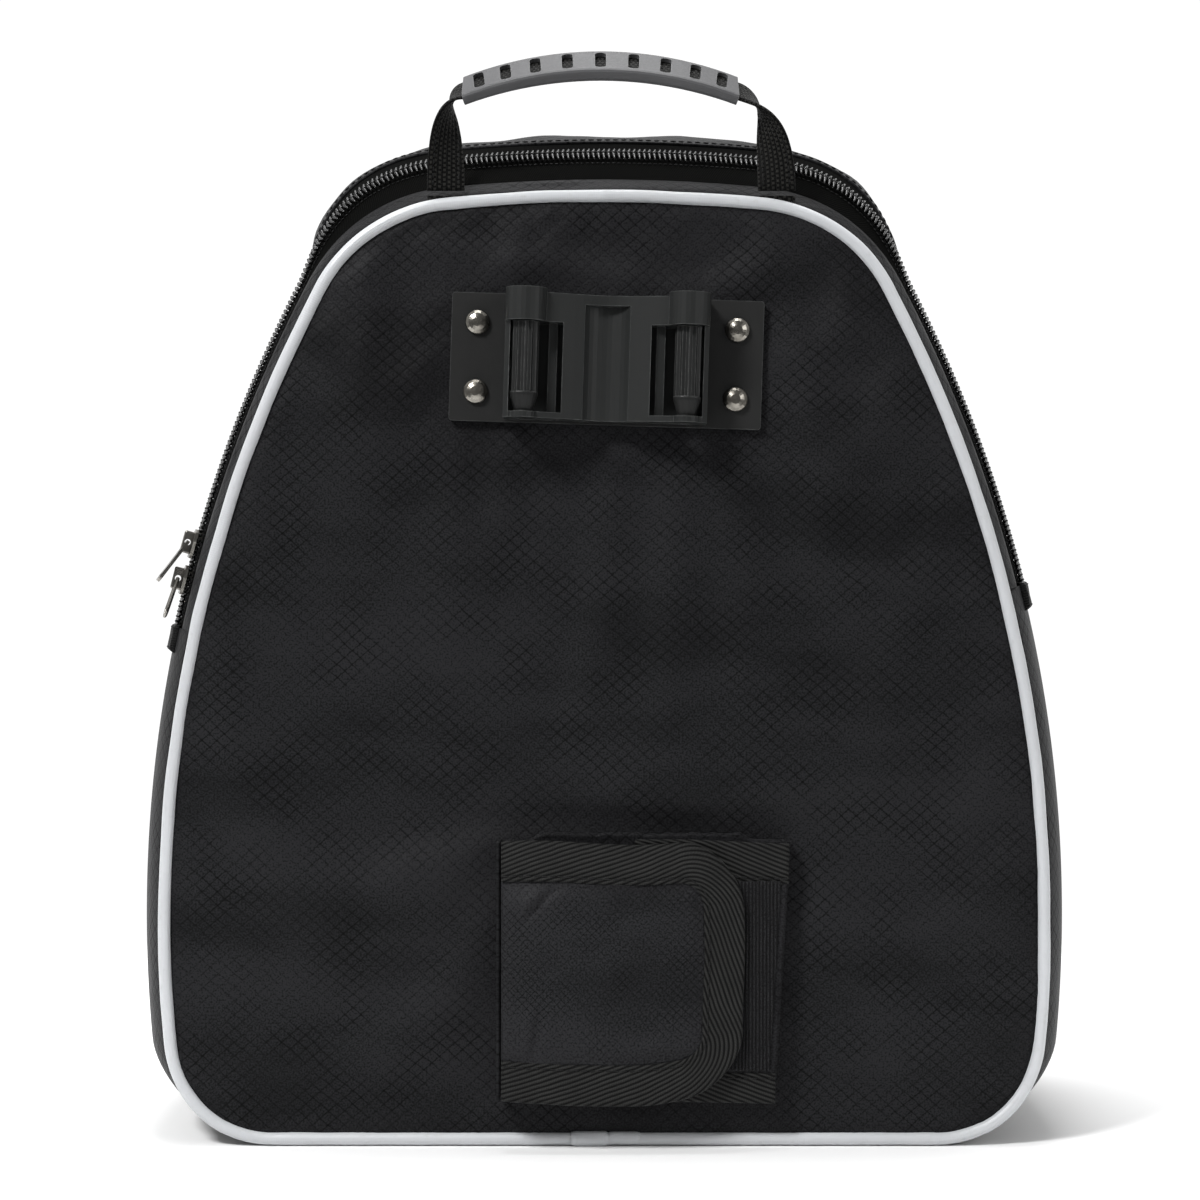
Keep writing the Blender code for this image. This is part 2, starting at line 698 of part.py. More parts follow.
def clip_cradle(frame):
    """The moulding: a valley for the shaft, a window and a cap at each end, cells open below."""
    steps = 20
    valley = [
        (x, cradle_front(x))
        for x in (TOWER_X * (1 - 2 * k / steps) for k in range(steps + 1))
    ]
    rim = [
        (CRADLE_HALF_WIDTH, GAP), (CRADLE_HALF_WIDTH, CRADLE_TOWER - 0.002),
        (CRADLE_HALF_WIDTH - 0.002, CRADLE_TOWER), *valley,
        (-CRADLE_HALF_WIDTH + 0.002, CRADLE_TOWER), (-CRADLE_HALF_WIDTH, CRADLE_TOWER - 0.002),
        (-CRADLE_HALF_WIDTH, GAP),
    ]
    outline = [(x, -forward) for x, forward in rim]
    height = CRADLE_TOP - CRADLE_BOTTOM
    made = plate("clip_cradle", [outline], height, rotation=(0.0, 0.0, 0.0))
    made.location = (0.0, 0.0, (CRADLE_TOP + CRADLE_BOTTOM) / 2)
    made = as_mesh(made)
    sill = CRADLE_BOTTOM + LUG_HEIGHT
    cap_base = CRADLE_TOP + CAP_OVERHANG - CAP_HEIGHT
    for side in (-1, 1):
        window_x = sorted((side * 0.0382, side * 0.0174))
        window = block(
            f"window_{side}", (window_x[0], -0.040, sill), (window_x[1], -0.0023, cap_base)
        )
        boolean(made, window, "DIFFERENCE")
        cell_x = sorted((side * 0.0342, side * 0.0174))
        cell = block(
            f"cell_{side}", (cell_x[0], -0.0075, CRADLE_BOTTOM - 0.002), (cell_x[1], -0.0023, sill + 0.001)
        )
        boolean(made, cell, "DIFFERENCE")
        rib_x = sorted((side * 0.0230, side * 0.0196))
        rib = block(f"rib_{side}", (rib_x[0], -0.0090, sill - 0.001), (rib_x[1], -0.0015, cap_base + 0.001))
        boolean(made, rib, "UNION")
        cap = cylinder(
            f"cap_{side}", CAP_RADIUS, (side * TOWER_X, -CAP_FORWARD, cap_base),
            (side * TOWER_X, -CAP_FORWARD, cap_base + CAP_HEIGHT), 28,
        )
        boolean(made, cap, "UNION")
        lug = cylinder(
            f"lug_{side}", ROLLER_RADIUS, (side * TOWER_X, -CAP_FORWARD, CRADLE_BOTTOM),
            (side * TOWER_X, -CAP_FORWARD, sill), 20,
        )
        boolean(made, lug, "UNION")
        bore = cylinder(
            f"bore_{side}", ROLLER_BORE, (side * TOWER_X, -CAP_FORWARD, CRADLE_BOTTOM + 0.0008),
            (side * TOWER_X, -CAP_FORWARD, cap_base + 0.006), 12,
        )
        boolean(made, bore, "DIFFERENCE")
    middle = block(
        "middle_cell", (-0.0126, -0.0030, CRADLE_BOTTOM - 0.002), (0.0126, -0.0016, CRADLE_TOP - 0.006)
    )
    boolean(made, middle, "DIFFERENCE")
    groove = cylinder(
        "groove", 0.0110, (0.0, -0.0156, CRADLE_BOTTOM - 0.01), (0.0, -0.0156, CRADLE_TOP - 0.004), 36
    )
    boolean(made, groove, "DIFFERENCE")
    made = as_mesh(made)
    made.parent = frame
    finish(made, MOULDED)


def fluted_rim(radius, depth, ribs, steps):
    """A round outline with rounded ribs, sampled at steps points to a rib."""
    found = []
    for k in range(ribs * steps):
        angle = math.tau * k / (ribs * steps)
        reach = radius - depth * (1 - math.cos(ribs * angle)) / 2
        found.append((reach * math.cos(angle), reach * math.sin(angle)))
    return found


def clip_rollers(frame):
    """A fluted grip roller with a tapered tip, on a steel pin under each cap."""
    low = CRADLE_BOTTOM + LUG_HEIGHT + GAP
    high = CRADLE_TOP + CAP_OVERHANG - CAP_HEIGHT - GAP
    collar = low + ROLLER_TIP
    for name, side in (("left", -1), ("right", 1)):
        pivot = empty(f"roller_{name}_pivot", (side * TOWER_X, -CAP_FORWARD, 0.0))
        pivot.parent = frame
        rim = fluted_rim(ROLLER_RADIUS, ROLLER_FLUTE, ROLLER_RIBS, 4)
        roller = plate(f"grip_roller_{name}", [rim], high - collar + GAP, rotation=(0.0, 0.0, 0.0))
        roller.location = (0.0, 0.0, (high + collar - GAP) / 2)
        roller = as_mesh(roller)
        tip_profile = (
            (0.0, collar + 0.0004), (ROLLER_RADIUS, collar + 0.0004), (ROLLER_RADIUS + 0.0002, collar),
            (ROLLER_RADIUS, collar - 0.0012), (ROLLER_RADIUS - 0.0018, low), (0.0, low),
        )
        boolean(roller, turned(f"roller_tip_{name}", tip_profile, 24), "UNION")
        bore = cylinder(f"roller_bore_{name}", ROLLER_BORE, (0.0, 0.0, low - 0.001), (0.0, 0.0, high + 0.001), 16)
        boolean(roller, bore, "DIFFERENCE")
        roller = as_mesh(roller)
        roller.parent = pivot
        finish(roller, MOULDED)
        pin = cylinder(
            f"roller_pin_{name}", PIN_RADIUS, (side * TOWER_X, -CAP_FORWARD, CRADLE_BOTTOM + 0.0011),
            (side * TOWER_X, -CAP_FORWARD, high + 0.0055), 12,
        )
        pin.parent = frame
        finish(pin, NICKEL)


def clip_rivets(frame):
    """Domed rivets through the plate and the panel, each with a washer inside the lid."""
    dome = 0.0030
    tail = PLATE_THICKNESS + GAP + PANEL_THICKNESS + 0.0022
    washer_front = PLATE_THICKNESS + GAP + PANEL_THICKNESS + GAP
    for index, (x, z) in enumerate(rivet_places(), 1):
        steps = 4
        crown = [
            (RIVET_RADIUS * math.sin(math.pi / 2 * k / steps), GAP + dome * math.cos(math.pi / 2 * k / steps))
            for k in range(steps + 1)
        ]
        profile = [*crown, (SHANK_RADIUS, GAP), (SHANK_RADIUS, -tail), (0.0, -tail)]
        rivet = turned(f"clip_rivet_{index}", profile, 20)
        rivet.rotation_euler = (math.pi / 2, 0.0, 0.0)
        rivet.location = (x, 0.0, z)
        ring = plate(
            f"rivet_washer_{index}",
            [circle((0.0, 0.0), 0.0055, 20), circle((0.0, 0.0), HOLE_RADIUS, 20)], 0.0010,
        )
        ring.location = (x, washer_front + 0.0005, z)
        for made in (rivet, ring):
            made.parent = frame
            finish(made, NICKEL)


# The handle


def grip_circle():
    """The radius and the centre of the grip's arc."""
    left, right = GRIP_ENDS
    half = (right - left) / 2
    radius = (half**2 + GRIP_RISE**2) / (2 * GRIP_RISE)
    height = FOOT + GRIP_END_HEIGHT + GRIP_RISE - radius
    return radius, Vector(((left + right) / 2, FRONT + HANDLE_AXIS[0], height))


def grip_path(steps):
    """Places and tangents along the grip's arc."""
    radius, centre = grip_circle()
    reach = math.asin((GRIP_ENDS[1] - GRIP_ENDS[0]) / 2 / radius)
    found = []
    for k in range(steps + 1):
        angle = -reach + 2 * reach * k / steps
        out = Vector((math.sin(angle), 0.0, math.cos(angle)))
        found.append((centre + out * radius, Vector((math.cos(angle), 0.0, -math.sin(angle)))))
    return found


def leg_path(foot_x, end, end_tangent, steps):
    """A leg from its foot up to the grip's end, as a cubic with the given end direction."""
    start = Vector((foot_x, FRONT + HANDLE_AXIS[0], FOOT + HANDLE_AXIS[1]))
    pull = (end - start).length
    first = start + Vector((0.0, 0.0, pull * 0.62))
    second = end - end_tangent * pull * 0.22
    found = []
    for k in range(steps + 1):
        t = k / steps
        u = 1 - t
        place = start * u**3 + first * 3 * u * u * t + second * 3 * u * t * t + end * t**3
        tangent = (first - start) * u * u + (second - first) * 2 * u * t + (end - second) * t * t
        found.append((place, tangent.normalized()))
    return found


def web_frames(side):
    """Frames up one leg, twisting a quarter turn from facing forwards to lying in the grip."""
    end, tangent = grip_path(1)[0 if side < 0 else 1]
    path = leg_path(HANDLE_FEET[0 if side < 0 else 1], end, tangent * -side, 9)
    flat = Vector((0.0, math.cos(GRIP_TILT), math.sin(GRIP_TILT)))
    frames = []
    for k, (place, along) in enumerate(path):
        turn = math.pi / 2 * k / (len(path) - 1)
        across = Vector((-side, 0.0, 0.0)) * math.cos(turn) + flat * math.sin(turn)
        across = (across - along * across.dot(along)).normalized()
        up = along.cross(across) * -side
        frames.append((place, across, up))
    return frames


def rectangle(width, thickness):
    x = width / 2
    y = thickness / 2
    return [(-x, -y), (x, -y), (x, y), (-x, y)]


def grip_slot(k, flat):
    """A cutter for the k-th window from the grip's middle, open down to the strap."""
    radius, centre = grip_circle()
    angle = k * SLOT_PITCH * (1 - SLOT_CROWDING * k * k) / radius
    up = Vector((math.sin(angle), 0.0, math.cos(angle)))
    along = Vector((math.cos(angle), 0.0, -math.sin(angle)))
    half = (SLOT_WIDTH / 2, SLOT_LENGTH / 2)
    depth = GRIP_THICKNESS
    outline = rounded(-half[0], half[0], -half[1], half[1], (0.0016,) * 4, 3)
    cutter = as_mesh(plate(f"slot_{k + SLOT_PAIRS}", [outline], depth, rotation=(0.0, 0.0, 0.0)))
    normal = along.cross(flat)
    turn = Matrix((along, flat, normal)).transposed().to_4x4()
    cutter.matrix_world = Matrix.Translation(centre + up * radius + normal * depth / 2) @ turn
    return cutter


def handle():
    """The strap and its moulded grip, on a pivot along the top seam."""
    pivot = empty("handle_pivot", (0.0, FRONT + HANDLE_AXIS[0], FOOT + HANDLE_AXIS[1]))
    flat = Vector((0.0, math.cos(GRIP_TILT), math.sin(GRIP_TILT)))
    steps = 24
    middle = [(place, flat, along.cross(flat)) for place, along in grip_path(steps)]
    left = web_frames(-1)
    right = list(reversed(web_frames(1)))
    strap = sweep("handle_webbing", left[:-1] + middle + right[1:], rectangle(WEB_WIDTH, WEB_THICKNESS))
    attach(finish(strap, WEBBING), pivot)
    swell = [0.9 + 0.1 * math.sin(math.pi * k / steps) for k in range(steps + 1)]
    half = (GRIP_WIDTH / 2, GRIP_THICKNESS / 2)
    section = rounded(-half[0], half[0], -half[1], half[1], (GRIP_EDGE,) * 4, 3)
    grip = sweep("handle_grip", middle, section, swell)
    first = (middle[0][0] * 2 - middle[1][0], middle[0][1], middle[0][2])
    last = (middle[-1][0] * 2 - middle[-2][0], middle[-1][1], middle[-1][2])
    clear = 0.0008
    tunnel_section = rectangle(WEB_WIDTH + clear, WEB_THICKNESS + clear)
    tunnel = sweep("grip_tunnel", [first, *middle, last], tunnel_section)
    boolean(grip, tunnel, "DIFFERENCE")
    cutters = [grip_slot(k, flat) for k in range(-SLOT_PAIRS, SLOT_PAIRS + 1)]
    boolean(grip, group("grip_slots", cutters), "DIFFERENCE")
    attach(finish(grip, GRIP), pivot)


def handle_ends():
    """The strap's sewn ends, standing behind the piping."""
    y = FRONT + HANDLE_AXIS[0]
    top = FOOT + HANDLE_AXIS[1] - WEB_THICKNESS / 2 - 0.0004
    low = FOOT + SEAM_HEIGHT - 0.0005
    half = WEB_THICKNESS / 2
    for side, x in zip(("left", "right"), HANDLE_FEET):
        name = f"handle_webbing_end_{side}"
        stub = block(name, (x - WEB_WIDTH / 2, y - half, low), (x + WEB_WIDTH / 2, y + half, top))
        finish(stub, WEBBING)


# The zip's sliders


def slider_matrix(height):
    """A frame on the left chain: x back across it, y out of it, z up along it."""
    angle = math.asin((height - SIDE_CENTRE[1]) / (SIDE_RADIUS + section_point((0, 0.2, 1, 0), 3)[0]))
    c = math.cos(angle)
    s = math.sin(angle)
    station = (
        -(SIDE_CENTRE[0] + SIDE_RADIUS * c), SIDE_CENTRE[1] + SIDE_RADIUS * s, -c, s
    )
    place, across, outward = gusset_frame(station, 3.5)
    up = across.cross(outward)
    turn = Matrix((across, outward, up)).transposed().to_4x4()
    return Matrix.Translation(place) @ turn


def slider(name, height):
    """Two plates joined by a bridge between the rows of teeth, with a bail over the outer one."""
    pivot = empty(f"{name}_pivot", (-SIDE_CENTRE[0], FRONT + 0.0235, FOOT + SIDE_CENTRE[1]))
    half = SLIDER_LENGTH / 2
    wide = SLIDER_WIDTH / 2
    outline = [
        (-wide + 0.0020, -half), (wide - 0.0020, -half), (wide - 0.0008, -half + 0.0012),
        (wide, half - 0.0050), (wide - 0.0012, half - 0.0012), (0.0020, half), (-0.0020, half),
        (-wide + 0.0012, half - 0.0012), (-wide, half - 0.0050), (-wide + 0.0008, -half + 0.0012),
    ]
    turn = (math.pi / 2, 0.0, 0.0)
    outer = plate(name, [outline], SLIDER_PLATE, turn, (0.0, SLIDER_CHANNEL + SLIDER_PLATE / 2, 0.0))
    body = as_mesh(outer)
    inner = as_mesh(
        plate(f"{name}_inner", [outline], SLIDER_PLATE, turn, (0.0, -SLIDER_CHANNEL - SLIDER_PLATE / 2, 0.0))
    )
    reach = SLIDER_CHANNEL + SLIDER_PLATE / 2
    bridge = block(f"{name}_bridge", (-0.0003, -reach, half - 0.0045), (0.0003, reach, half - 0.0010))
    bail = block(
        f"{name}_bail", (-0.0011, reach, -0.0046), (0.0011, BAIL_LIFT + BAIL_HOLE + 0.0009, 0.0046)
    )
    edge = bail.modifiers.new("Edges", "BEVEL")
    edge.width = 0.0007
    edge.segments = 2
    bail = as_mesh(bail)
    hole = cylinder(f"{name}_hole", BAIL_HOLE, (-0.004, BAIL_LIFT, 0.0), (0.004, BAIL_LIFT, 0.0), 16)
    frame = slider_matrix(height)
    for tool, operation in ((inner, "UNION"), (bridge, "UNION"), (bail, "UNION"), (hole, "DIFFERENCE")):
        tool.matrix_world = frame @ tool.matrix_world
        boolean(body, tool, operation)
    body.matrix_world = frame @ body.matrix_world
    attach(finish(body, GUNMETAL), pivot)
    return pivot, frame


def pull_frame(frame, angle):
    """A frame at the bail's hole: z points along the pull, which hangs at an angle out from the tape."""
    hole = frame @ Vector((0.0, BAIL_LIFT, 0.0))
    return Matrix.Translation(hole) @ frame.to_3x3().to_4x4() @ Matrix.Rotation(math.pi + angle, 4, "X")


def tab_pull(slider_pivot, frame):
    """The upper slider's flat tab: an eye round the bail, then a rounded blade."""
    place = pull_frame(frame, UPPER_PULL_ANGLE)
    pivot = empty("pull_upper_pivot", place.translation, place.to_euler())
    attach(pivot, slider_pivot)
    rim = rounded(-0.0028, 0.0028, -0.0007, UPPER_PULL_LENGTH, (0.0006, 0.0022, 0.0022, 0.0006), 4)
    eye = rounded(-0.0015, 0.0015, 0.0007, 0.0058, (0.0004, 0.0012, 0.0012, 0.0004), 3)
    end = circle((0.0, UPPER_PULL_LENGTH - 0.0030), 0.0011, 12)
    tab = plate("pull_upper", [rim, eye, end], 0.0013)
    tab.parent = pivot
    finish(tab, GUNMETAL)


def wire_pull(slider_pivot, frame):
    """The lower slider's wire loop."""
    place = pull_frame(frame, LOWER_PULL_ANGLE)
    pivot = empty("pull_lower_pivot", place.translation, place.to_euler())
    attach(pivot, slider_pivot)
    narrow = 0.0022
    wide = 0.0034
    length = LOWER_PULL_LENGTH
    points = [(-narrow, 0.0), (narrow, 0.0), (narrow + 0.0003, 0.004)]
    points += [(x, z) for x, z in arc((0.0, length - wide), wide, -0.2, math.pi + 0.2, 8)]
    points += [(-narrow - 0.0003, 0.004)]
    loop = tube("pull_lower", [(x, 0.0, z) for x, z in points], 0.0007, cyclic=True)
    loop.parent = pivot
    finish(loop, GUNMETAL)


def sliders():
    upper_pivot, upper_frame = slider("slider_upper", SLIDER_HEIGHTS[0])
    tab_pull(upper_pivot, upper_frame)
    lower_pivot, lower_frame = slider("slider_lower", SLIDER_HEIGHTS[1])
    wire_pull(lower_pivot, lower_frame)


# The cuff


def flat_part(name, outlines, thickness, y, look, parent=None):
    """An upright plate centred at a distance y in front of the seam plane."""
    made = plate(name, outlines, thickness, location=(0.0, FRONT + y, FOOT))
    finish(made, look)
    if parent:
        attach(made, parent)
    return made


def c_outline(outer, inner):
    """A binding's outline: round the outside and back along the inside."""
    return [*outer, *reversed(inner)]


def cuff_base():
    """The patch sewn to the panel, with the side walls that the flaps fold from."""
    back = -PANEL_THICKNESS / 2 - GAP
    front = back - CUFF_SHEET
    clear = CUFF_SHEET / 2 + 0.0004
    left_top = LEFT_FLAP_Y + clear
    right_top = RIGHT_FLAP_Y + clear
    half = CUFF_SHEET / 2
    section = [
        (CUFF_LEFT - half, back), (CUFF_RIGHT + half, back), (CUFF_RIGHT + half, right_top),
        (CUFF_RIGHT - half, right_top), (CUFF_RIGHT - half, front), (CUFF_LEFT + half, front),
        (CUFF_LEFT + half, left_top), (CUFF_LEFT - half, left_top),
    ]
    height = CUFF_HIGH + 0.0028 - CUFF_LOW
    made = plate("cuff_sleeve", [section], height, rotation=(0.0, 0.0, 0.0))
    made.location = (0.0, FRONT, FOOT + CUFF_LOW + height / 2)
    finish(made, RIPSTOP)


def left_flap():
    pivot = empty("cuff_left_pivot", (CUFF_LEFT, FRONT + LEFT_FLAP_Y, FOOT))
    corner = 0.0250
    inner_corner = corner - BINDING_WIDTH
    end = LEFT_FLAP_END - BINDING_WIDTH
    low = CUFF_LOW + BINDING_WIDTH
    high = CUFF_HIGH - BINDING_WIDTH
    panel = rounded(CUFF_LEFT, end - GAP, low + GAP, high - GAP, (inner_corner, inner_corner, 0, 0))
    outer = rounded(CUFF_LEFT, LEFT_FLAP_END, CUFF_LOW, CUFF_HIGH, (corner, corner, 0, 0), 8)
    inner = rounded(CUFF_LEFT, end, low, high, (inner_corner, inner_corner, 0, 0))
    outer = [outer[-1], *outer[:-1]]
    inner = [inner[-1], *inner[:-1]]
    flat_part("cuff_left_flap", [panel], CUFF_SHEET, LEFT_FLAP_Y, RIPSTOP, pivot)
    flat_part("cuff_left_binding", [c_outline(outer, inner)], CUFF_BINDING, LEFT_FLAP_Y, TWILL, pivot)
    patch = rounded(RIGHT_FLAP_END + 0.009, end - 0.002, low + 0.002, high - 0.002, (0.009, 0.009, 0.001, 0.001), 3)
    patch_y = LEFT_FLAP_Y + CUFF_SHEET / 2 + GAP + HOOK_THICKNESS / 2
    flat_part("cuff_loop_patch", [patch], HOOK_THICKNESS, patch_y, HOOK_AND_LOOP, pivot)


def right_flap():
    pivot = empty("cuff_right_pivot", (CUFF_RIGHT, FRONT + RIGHT_FLAP_Y, FOOT))
    low = CUFF_LOW - 0.0012
    high = CUFF_HIGH + 0.0008
    low_edge = low + 0.0120
    high_edge = high - BINDING_WIDTH
    corner = 0.004
    panel = rounded(RIGHT_FLAP_END + 0.0080 + GAP, CUFF_RIGHT, low_edge + GAP, high_edge - GAP, (0,) * 4)
    free_edge = RIGHT_FLAP_END + 0.0080
    outer = rounded(RIGHT_FLAP_END, CUFF_RIGHT, low, high, (0, 0, corner, corner), 3)
    inner = rounded(free_edge, CUFF_RIGHT, low_edge, high_edge, (0,) * 4)
    outer = [outer[1], *outer[2:], outer[0]]
    inner = [inner[1], *inner[2:], inner[0]]
    flat_part("cuff_right_flap", [panel], CUFF_SHEET, RIGHT_FLAP_Y, RIPSTOP, pivot)
    flat_part("cuff_right_binding", [c_outline(outer, inner)], 0.0020, RIGHT_FLAP_Y, TWILL, pivot)
    strip = rounded(free_edge + 0.0010, CUFF_RIGHT - 0.0015, low_edge + 0.0005, high_edge - 0.0005, (0,) * 4)
    strip_y = RIGHT_FLAP_Y - CUFF_SHEET / 2 - GAP - HOOK_THICKNESS / 2
    flat_part("cuff_hook_strip", [strip], HOOK_THICKNESS, strip_y, HOOK_AND_LOOP, pivot)


def lid_frame():
    """The lid's pivot lies along its fold, just in front of the piping."""
    return empty("lid_pivot", (0.0, FRONT - PIPING_RADIUS - GAP, FOOT + FOLD))


LID_PARTS = (
    "front_panel_upper", "front_piping_upper", "gusset_front_strip", "zip_front_tape",
    "zip_front_teeth", "handle_webbing_end_left", "handle_webbing_end_right", "clip_frame",
    "handle_pivot",
)


def build():
    zip_bands()
    panels()
    piping()
    bottom_board()
    frame = clip_frame()
    clip_plate(frame)
    clip_cradle(frame)
    clip_rollers(frame)
    clip_rivets(frame)
    handle()
    handle_ends()
    sliders()
    cuff_base()
    left_flap()
    right_flap()
    lid = lid_frame()
    for name in LID_PARTS:
        attach(bpy.data.objects[name], lid)


build()
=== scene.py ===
"""Skate bag: the detailed look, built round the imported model.

Metres, in the part's own frame: +X to the right, the front facing -Y, the ground at z = 0.
"""

import json
import math

import bmesh
import bpy
import numpy as np
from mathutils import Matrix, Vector, noise


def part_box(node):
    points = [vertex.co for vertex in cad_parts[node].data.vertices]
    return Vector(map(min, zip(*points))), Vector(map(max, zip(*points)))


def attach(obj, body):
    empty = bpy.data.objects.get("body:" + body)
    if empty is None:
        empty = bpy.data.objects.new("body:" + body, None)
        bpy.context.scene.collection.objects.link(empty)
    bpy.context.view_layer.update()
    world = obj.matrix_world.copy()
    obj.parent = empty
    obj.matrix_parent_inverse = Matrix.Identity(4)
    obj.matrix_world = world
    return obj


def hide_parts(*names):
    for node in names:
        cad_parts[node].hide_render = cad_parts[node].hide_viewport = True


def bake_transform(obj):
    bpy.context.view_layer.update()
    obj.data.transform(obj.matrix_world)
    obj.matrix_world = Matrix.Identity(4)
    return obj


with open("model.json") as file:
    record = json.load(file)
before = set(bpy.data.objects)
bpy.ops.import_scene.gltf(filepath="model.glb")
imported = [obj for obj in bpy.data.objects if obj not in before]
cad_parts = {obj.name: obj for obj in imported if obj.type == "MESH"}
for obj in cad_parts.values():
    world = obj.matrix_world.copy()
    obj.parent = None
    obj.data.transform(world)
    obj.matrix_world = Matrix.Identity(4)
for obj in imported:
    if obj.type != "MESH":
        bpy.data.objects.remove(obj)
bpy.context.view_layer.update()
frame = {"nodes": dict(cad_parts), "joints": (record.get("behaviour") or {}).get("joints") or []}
NODES = frame["nodes"]


def middle(node):
    """The centre of a CAD node's box."""
    low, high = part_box(node)
    return (low + high) / 2


# The bag's outline and depth, as the CAD has them.
SIDE_RADIUS = 0.545
SIDE_CENTRE = (-0.369, 0.087)
TOP_RADIUS = 0.640
SEAM_HEIGHT = 0.377
SHOULDER_RADIUS = 0.064
FOOT_RADIUS = 0.041
DEPTH_BOTTOM = 0.165
DEPTH_TOP = 0.126
PIPING_RADIUS = 0.0025
SEAM_INSET = 0.0028
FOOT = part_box("front_piping_lower")[0].z + PIPING_RADIUS
FRONT = middle("front_panel_upper").y
LEFT_ZIP_END = 0.202
RIGHT_ZIP_END = 0.219
BULGE = 0.0028

# The gusset's section, front to back: (outward bulge, depth behind the front seam), the first six
# depths in metres and the others as a share of the bag's depth.
TOP_SECTION = (
    (0.0010, 0.0028), (0.0040, 0.0048), (0.0078, 0.0096), (0.0168, 0.0176), (0.0226, 0.0256),
    (0.0280, 0.0350), (0.0322, 0.40), (0.0332, 0.58), (0.0310, 0.76), (0.0250, 0.88), (0.0140, 0.96),
)
SIDE_SECTION = (
    (0.0010, 0.0028), (0.0036, 0.0052), (0.0072, 0.0115), (0.0096, 0.0182), (0.0122, 0.0295),
    (0.0130, 0.0400), (0.0138, 0.42), (0.0138, 0.60), (0.0128, 0.76), (0.0098, 0.88), (0.0055, 0.96),
)
BASE_SECTION = (
    (0.0014, 0.0030), (BULGE, 0.0060), (BULGE, 0.0115), (BULGE, 0.0182), (BULGE, 0.0295),
    (BULGE, 0.0400), (BULGE, 0.42), (BULGE, 0.60), (BULGE, 0.76), (BULGE, 0.88), (BULGE, 0.96),
)
LAST_SECTION = 11
METRE_SECTIONS = 6
REAR_EDGE = (0.0010, 0.0028)
TOP_BLEND = (0.42, 0.98)
BASE_BLEND = (0.10, 1.00)
SEAM_STEP = 0.0022


# Arrays


def joined(*parts):
    """Arrays and single numbers put side by side as the coordinates of places."""
    return np.stack(np.broadcast_arrays(*parts), axis=-1)


def unit(vectors):
    """The same directions, each of length 1."""
    return vectors / np.linalg.norm(vectors, axis=-1, keepdims=True)


def run_along(places):
    """The distance run along a line of places."""
    steps = np.linalg.norm(np.diff(places, axis=0), axis=1)
    return np.concatenate([[0.0], np.cumsum(steps)])


def chained(legs):
    """Lines of stations joined end to end, without repeating the stations where they meet."""
    return np.concatenate([legs[0], *[leg[1:] for leg in legs[1:]]])


def steady(direction, places):
    """One direction for every place."""
    return np.broadcast_to(direction, places.shape)


def smooth(value):
    """A smooth step from 0 to 1."""
    value = np.clip(value, 0.0, 1.0)
    return value * value * (3 - 2 * value)


def ripple(points, period, seed):
    """Soft noise from -1 to 1 at each point of an array of places."""
    flat = points.reshape(-1, 3) / period + seed
    found = [noise.noise(Vector(place)) for place in flat]
    return np.array(found).reshape(points.shape[:-1]) * 1.6


def meeting(centre_a, reach_a, centre_b, reach_b):
    """The right-hand crossing of two circles."""
    a = Vector(centre_a)
    line = Vector(centre_b) - a
    along = (reach_a**2 - reach_b**2 + line.length_squared) / (2 * line.length)
    away = math.sqrt(reach_a**2 - along**2)
    direction = line.normalized()
    crossings = [
        a + direction * along + Vector((-direction.y, direction.x)) * side * away for side in (-1, 1)
    ]
    return max(crossings, key=lambda point: point.x)


# The seam's outline


TOP_CENTRE = (0.0, SEAM_HEIGHT - TOP_RADIUS)
SHOULDER_CENTRE = meeting(
    SIDE_CENTRE, SIDE_RADIUS - SHOULDER_RADIUS, TOP_CENTRE, TOP_RADIUS - SHOULDER_RADIUS
)
FOOT_DROP = FOOT_RADIUS - SIDE_CENTRE[1]
FOOT_CENTRE = (
    SIDE_CENTRE[0] + math.sqrt((SIDE_RADIUS - FOOT_RADIUS) ** 2 - FOOT_DROP**2),
    FOOT_RADIUS,
)
FOOT_ANGLE = math.atan2(FOOT_DROP, FOOT_CENTRE[0] - SIDE_CENTRE[0])
SHOULDER_ANGLE = math.atan2(SHOULDER_CENTRE[1] - SIDE_CENTRE[1], SHOULDER_CENTRE[0] - SIDE_CENTRE[0])
TOP_ANGLE = math.atan2(SHOULDER_CENTRE[1] - TOP_CENTRE[1], SHOULDER_CENTRE[0] - TOP_CENTRE[0])


def on_arc(centre, radius, start, end, step):
    """Seam stations (x, height, outward x, outward height) on an arc."""
    steps = max(2, round(abs(end - start) * radius / step))
    angles = np.linspace(start, end, steps + 1)
    c = np.cos(angles)
    s = np.sin(angles)
    return joined(centre[0] + radius * c, centre[1] + radius * s, c, s)


def half_seam(low=None, high=None, step=SEAM_STEP):
    """Stations up the right half of the seam between two heights on the side; None is the middle."""
    legs = []
    start = FOOT_ANGLE
    end = SHOULDER_ANGLE
    if low is None:
        steps = round(FOOT_CENTRE[0] / step)
        floor = [(FOOT_CENTRE[0] * k / steps, 0.0, 0.0, -1.0) for k in range(steps + 1)]
        legs.append(np.array(floor))
        legs.append(on_arc(FOOT_CENTRE, FOOT_RADIUS, -math.pi / 2, FOOT_ANGLE, step))
    else:
        start = math.asin((low - SIDE_CENTRE[1]) / SIDE_RADIUS)
    if high is not None:
        end = math.asin((high - SIDE_CENTRE[1]) / SIDE_RADIUS)
    legs.append(on_arc(SIDE_CENTRE, SIDE_RADIUS, start, end, step))
    if high is None:
        legs.append(on_arc(SHOULDER_CENTRE, SHOULDER_RADIUS, SHOULDER_ANGLE, TOP_ANGLE, step))
        legs.append(on_arc(TOP_CENTRE, TOP_RADIUS, TOP_ANGLE, math.pi / 2, step))
    return chained(legs)


def mirrored(stations):
    """The same stations on the left half, in the opposite order."""
    return stations[::-1] * np.array([-1.0, 1.0, -1.0, 1.0])


